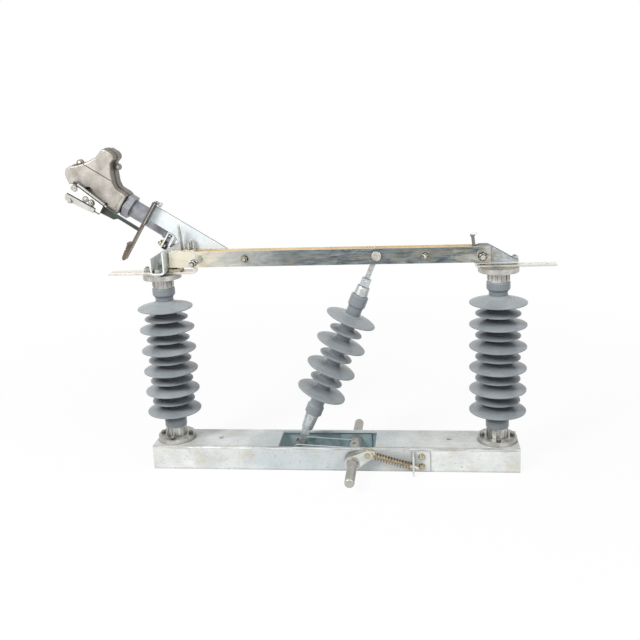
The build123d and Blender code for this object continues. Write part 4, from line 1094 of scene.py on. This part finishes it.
# ---- studio
class SWITCH_OT_studio(bpy.types.Operator):
    """Set the pale floor, the soft light and the camera"""

    bl_idname = "switch.studio"
    bl_label = "Studio"

    aim = Vector((0, 0, 0.35))  # middle of the switch, where the lamps point
    floor_half = 9.0
    floor_gap = 0.0005  # under the base, so that the two don't share a face
    fade = (0.7, 2.0)  # how far from the middle the floor starts and ends turning white
    near_share = 0.93  # how much of the floor close to the switch is plain white

    def execute(self, context):
        scene = context.scene
        studio = scene.switch_studio
        scene.view_settings.view_transform = "Standard"
        self.lay_floor(scene, studio)
        self.light_room(scene, studio)
        self.place_camera(scene)
        return {"FINISHED"}

    def seen(self, tree):
        """1 where the eye, or a shiny or clear surface, looks at the backdrop."""
        path = add(tree, "LightPath")
        either = add(
            tree, "Math", path.outputs["Is Camera Ray"], path.outputs["Is Glossy Ray"],
            operation="MAXIMUM",
        )
        return add(tree, "Math", either, path.outputs["Is Transmission Ray"], operation="MAXIMUM")

    def lay_floor(self, scene, studio):
        """Matt white floor that takes the shadow and has no horizon."""
        bm = bmesh.new()
        bmesh.ops.create_grid(bm, x_segments=8, y_segments=8, size=self.floor_half)
        mesh = bpy.data.meshes.new("studio_floor")
        bm.to_mesh(mesh)
        bm.free()
        floor = bpy.data.objects.new("studio_floor", mesh)
        scene.collection.objects.link(floor)
        floor.location.z = CAD_BOX[0][2] - self.floor_gap
        paint = bpy.data.materials.new("Matt white floor paint")
        paint.use_nodes = True
        tree = paint.node_tree
        tree.nodes.remove(tree.nodes["Principled BSDF"])
        matt = add(tree, "BsdfDiffuse", Color=solid(studio.floor))
        glow = add(tree, "Emission", Color=(1, 1, 1, 1), Strength=1.0)
        # the floor turns to plain white away from the switch
        place = add(tree, "TexCoord")
        away = add(tree, "VectorMath", place.outputs["Object"], operation="LENGTH")
        white = add(
            tree, "MapRange", away, From_Min=self.fade[0], From_Max=self.fade[1],
            To_Min=self.near_share, To_Max=1.0,
        )
        share = add(tree, "Math", self.seen(tree), white, operation="MULTIPLY")
        both = add(tree, "MixShader", share, matt, glow)
        tree.links.new(both.outputs[0], tree.nodes["Material Output"].inputs["Surface"])
        mesh.materials.append(paint)

    def light_room(self, scene, studio):
        """Even light all round, with a large soft lamp from each side in front."""
        world = bpy.data.worlds.new("studio_world")
        world.use_nodes = True
        scene.world = world
        tree = world.node_tree
        sky = tree.nodes["Background"]
        lit = add(tree, "MapRange", self.seen(tree), To_Min=studio.sky, To_Max=1.0)
        sky.inputs["Color"].default_value = (1, 1, 1, 1)
        tree.links.new(lit.outputs[0], sky.inputs["Strength"])
        for name, spot, power, width in (
            ("key_lamp", (-1.9, -2.3, 2.6), studio.key, 1.3),
            ("fill_lamp", (2.2, -1.9, 2.0), studio.fill, 1.6),
        ):
            lamp = bpy.data.lights.new(name, "AREA")
            lamp.shape = "SQUARE"
            lamp.size = width
            lamp.energy = power
            holder = bpy.data.objects.new(name, lamp)
            holder.matrix_world = facing(spot, Vector(spot) - self.aim)
            scene.collection.objects.link(holder)

    def place_camera(self, scene):
        """Camera a little right of the middle and above the blades, looking slightly down."""
        lens = bpy.data.cameras.new("eye")
        lens.sensor_width = 36.0
        lens.lens = 44.74
        lens.shift_x = 0.01475
        lens.shift_y = -0.04036
        eye = bpy.data.objects.new("eye", lens)
        eye.location = (0.22668, -1.94303, 0.94312)
        eye.rotation_euler = (radians(76.102), radians(2.782), radians(7.160))
        scene.collection.objects.link(eye)
        scene.camera = eye


class SWITCH_PT_panel(bpy.types.Panel):
    """Sizes, colours and the making of each group of pieces"""

    bl_idname = "SWITCH_PT_panel"
    bl_label = "Disconnect switch"
    bl_space_type = "VIEW_3D"
    bl_region_type = "UI"
    bl_category = "Switch"

    def draw(self, context):
        scene = context.scene
        column = self.layout.column()
        for group in (scene.switch_sizes, scene.switch_colours, scene.switch_studio):
            for name in group.__annotations__:
                column.prop(group, name)
        for kind in OPERATORS:
            column.operator(kind.bl_idname)


GROUPS = {
    "switch_colours": SwitchColours,
    "switch_sizes": SwitchSizes,
    "switch_studio": SwitchStudio,
}
OPERATORS = (
    SWITCH_OT_base,
    SWITCH_OT_posts,
    SWITCH_OT_jaw,
    SWITCH_OT_interrupter,
    SWITCH_OT_trip_lever,
    SWITCH_OT_hinge,
    SWITCH_OT_blade,
    SWITCH_OT_push_rod,
    SWITCH_OT_crank,
    SWITCH_OT_toggle,
    SWITCH_OT_studio,
)


def register():
    for kind in (*GROUPS.values(), *OPERATORS, SWITCH_PT_panel):
        bpy.utils.register_class(kind)
    for name, kind in GROUPS.items():
        setattr(bpy.types.Scene, name, bpy.props.PointerProperty(type=kind))


def unregister():
    for name in GROUPS:
        delattr(bpy.types.Scene, name)
    for kind in (SWITCH_PT_panel, *reversed(OPERATORS), *reversed(GROUPS.values())):
        bpy.utils.unregister_class(kind)


def main():
    register()
    bpy.ops.switch.base()
    bpy.ops.switch.posts()
    bpy.ops.switch.jaw()
    bpy.ops.switch.interrupter()
    bpy.ops.switch.trip_lever()
    bpy.ops.switch.hinge()
    bpy.ops.switch.blade()
    bpy.ops.switch.push_rod()
    bpy.ops.switch.crank()
    bpy.ops.switch.toggle()
    bpy.ops.switch.studio()


if __name__ == "__main__":
    main()
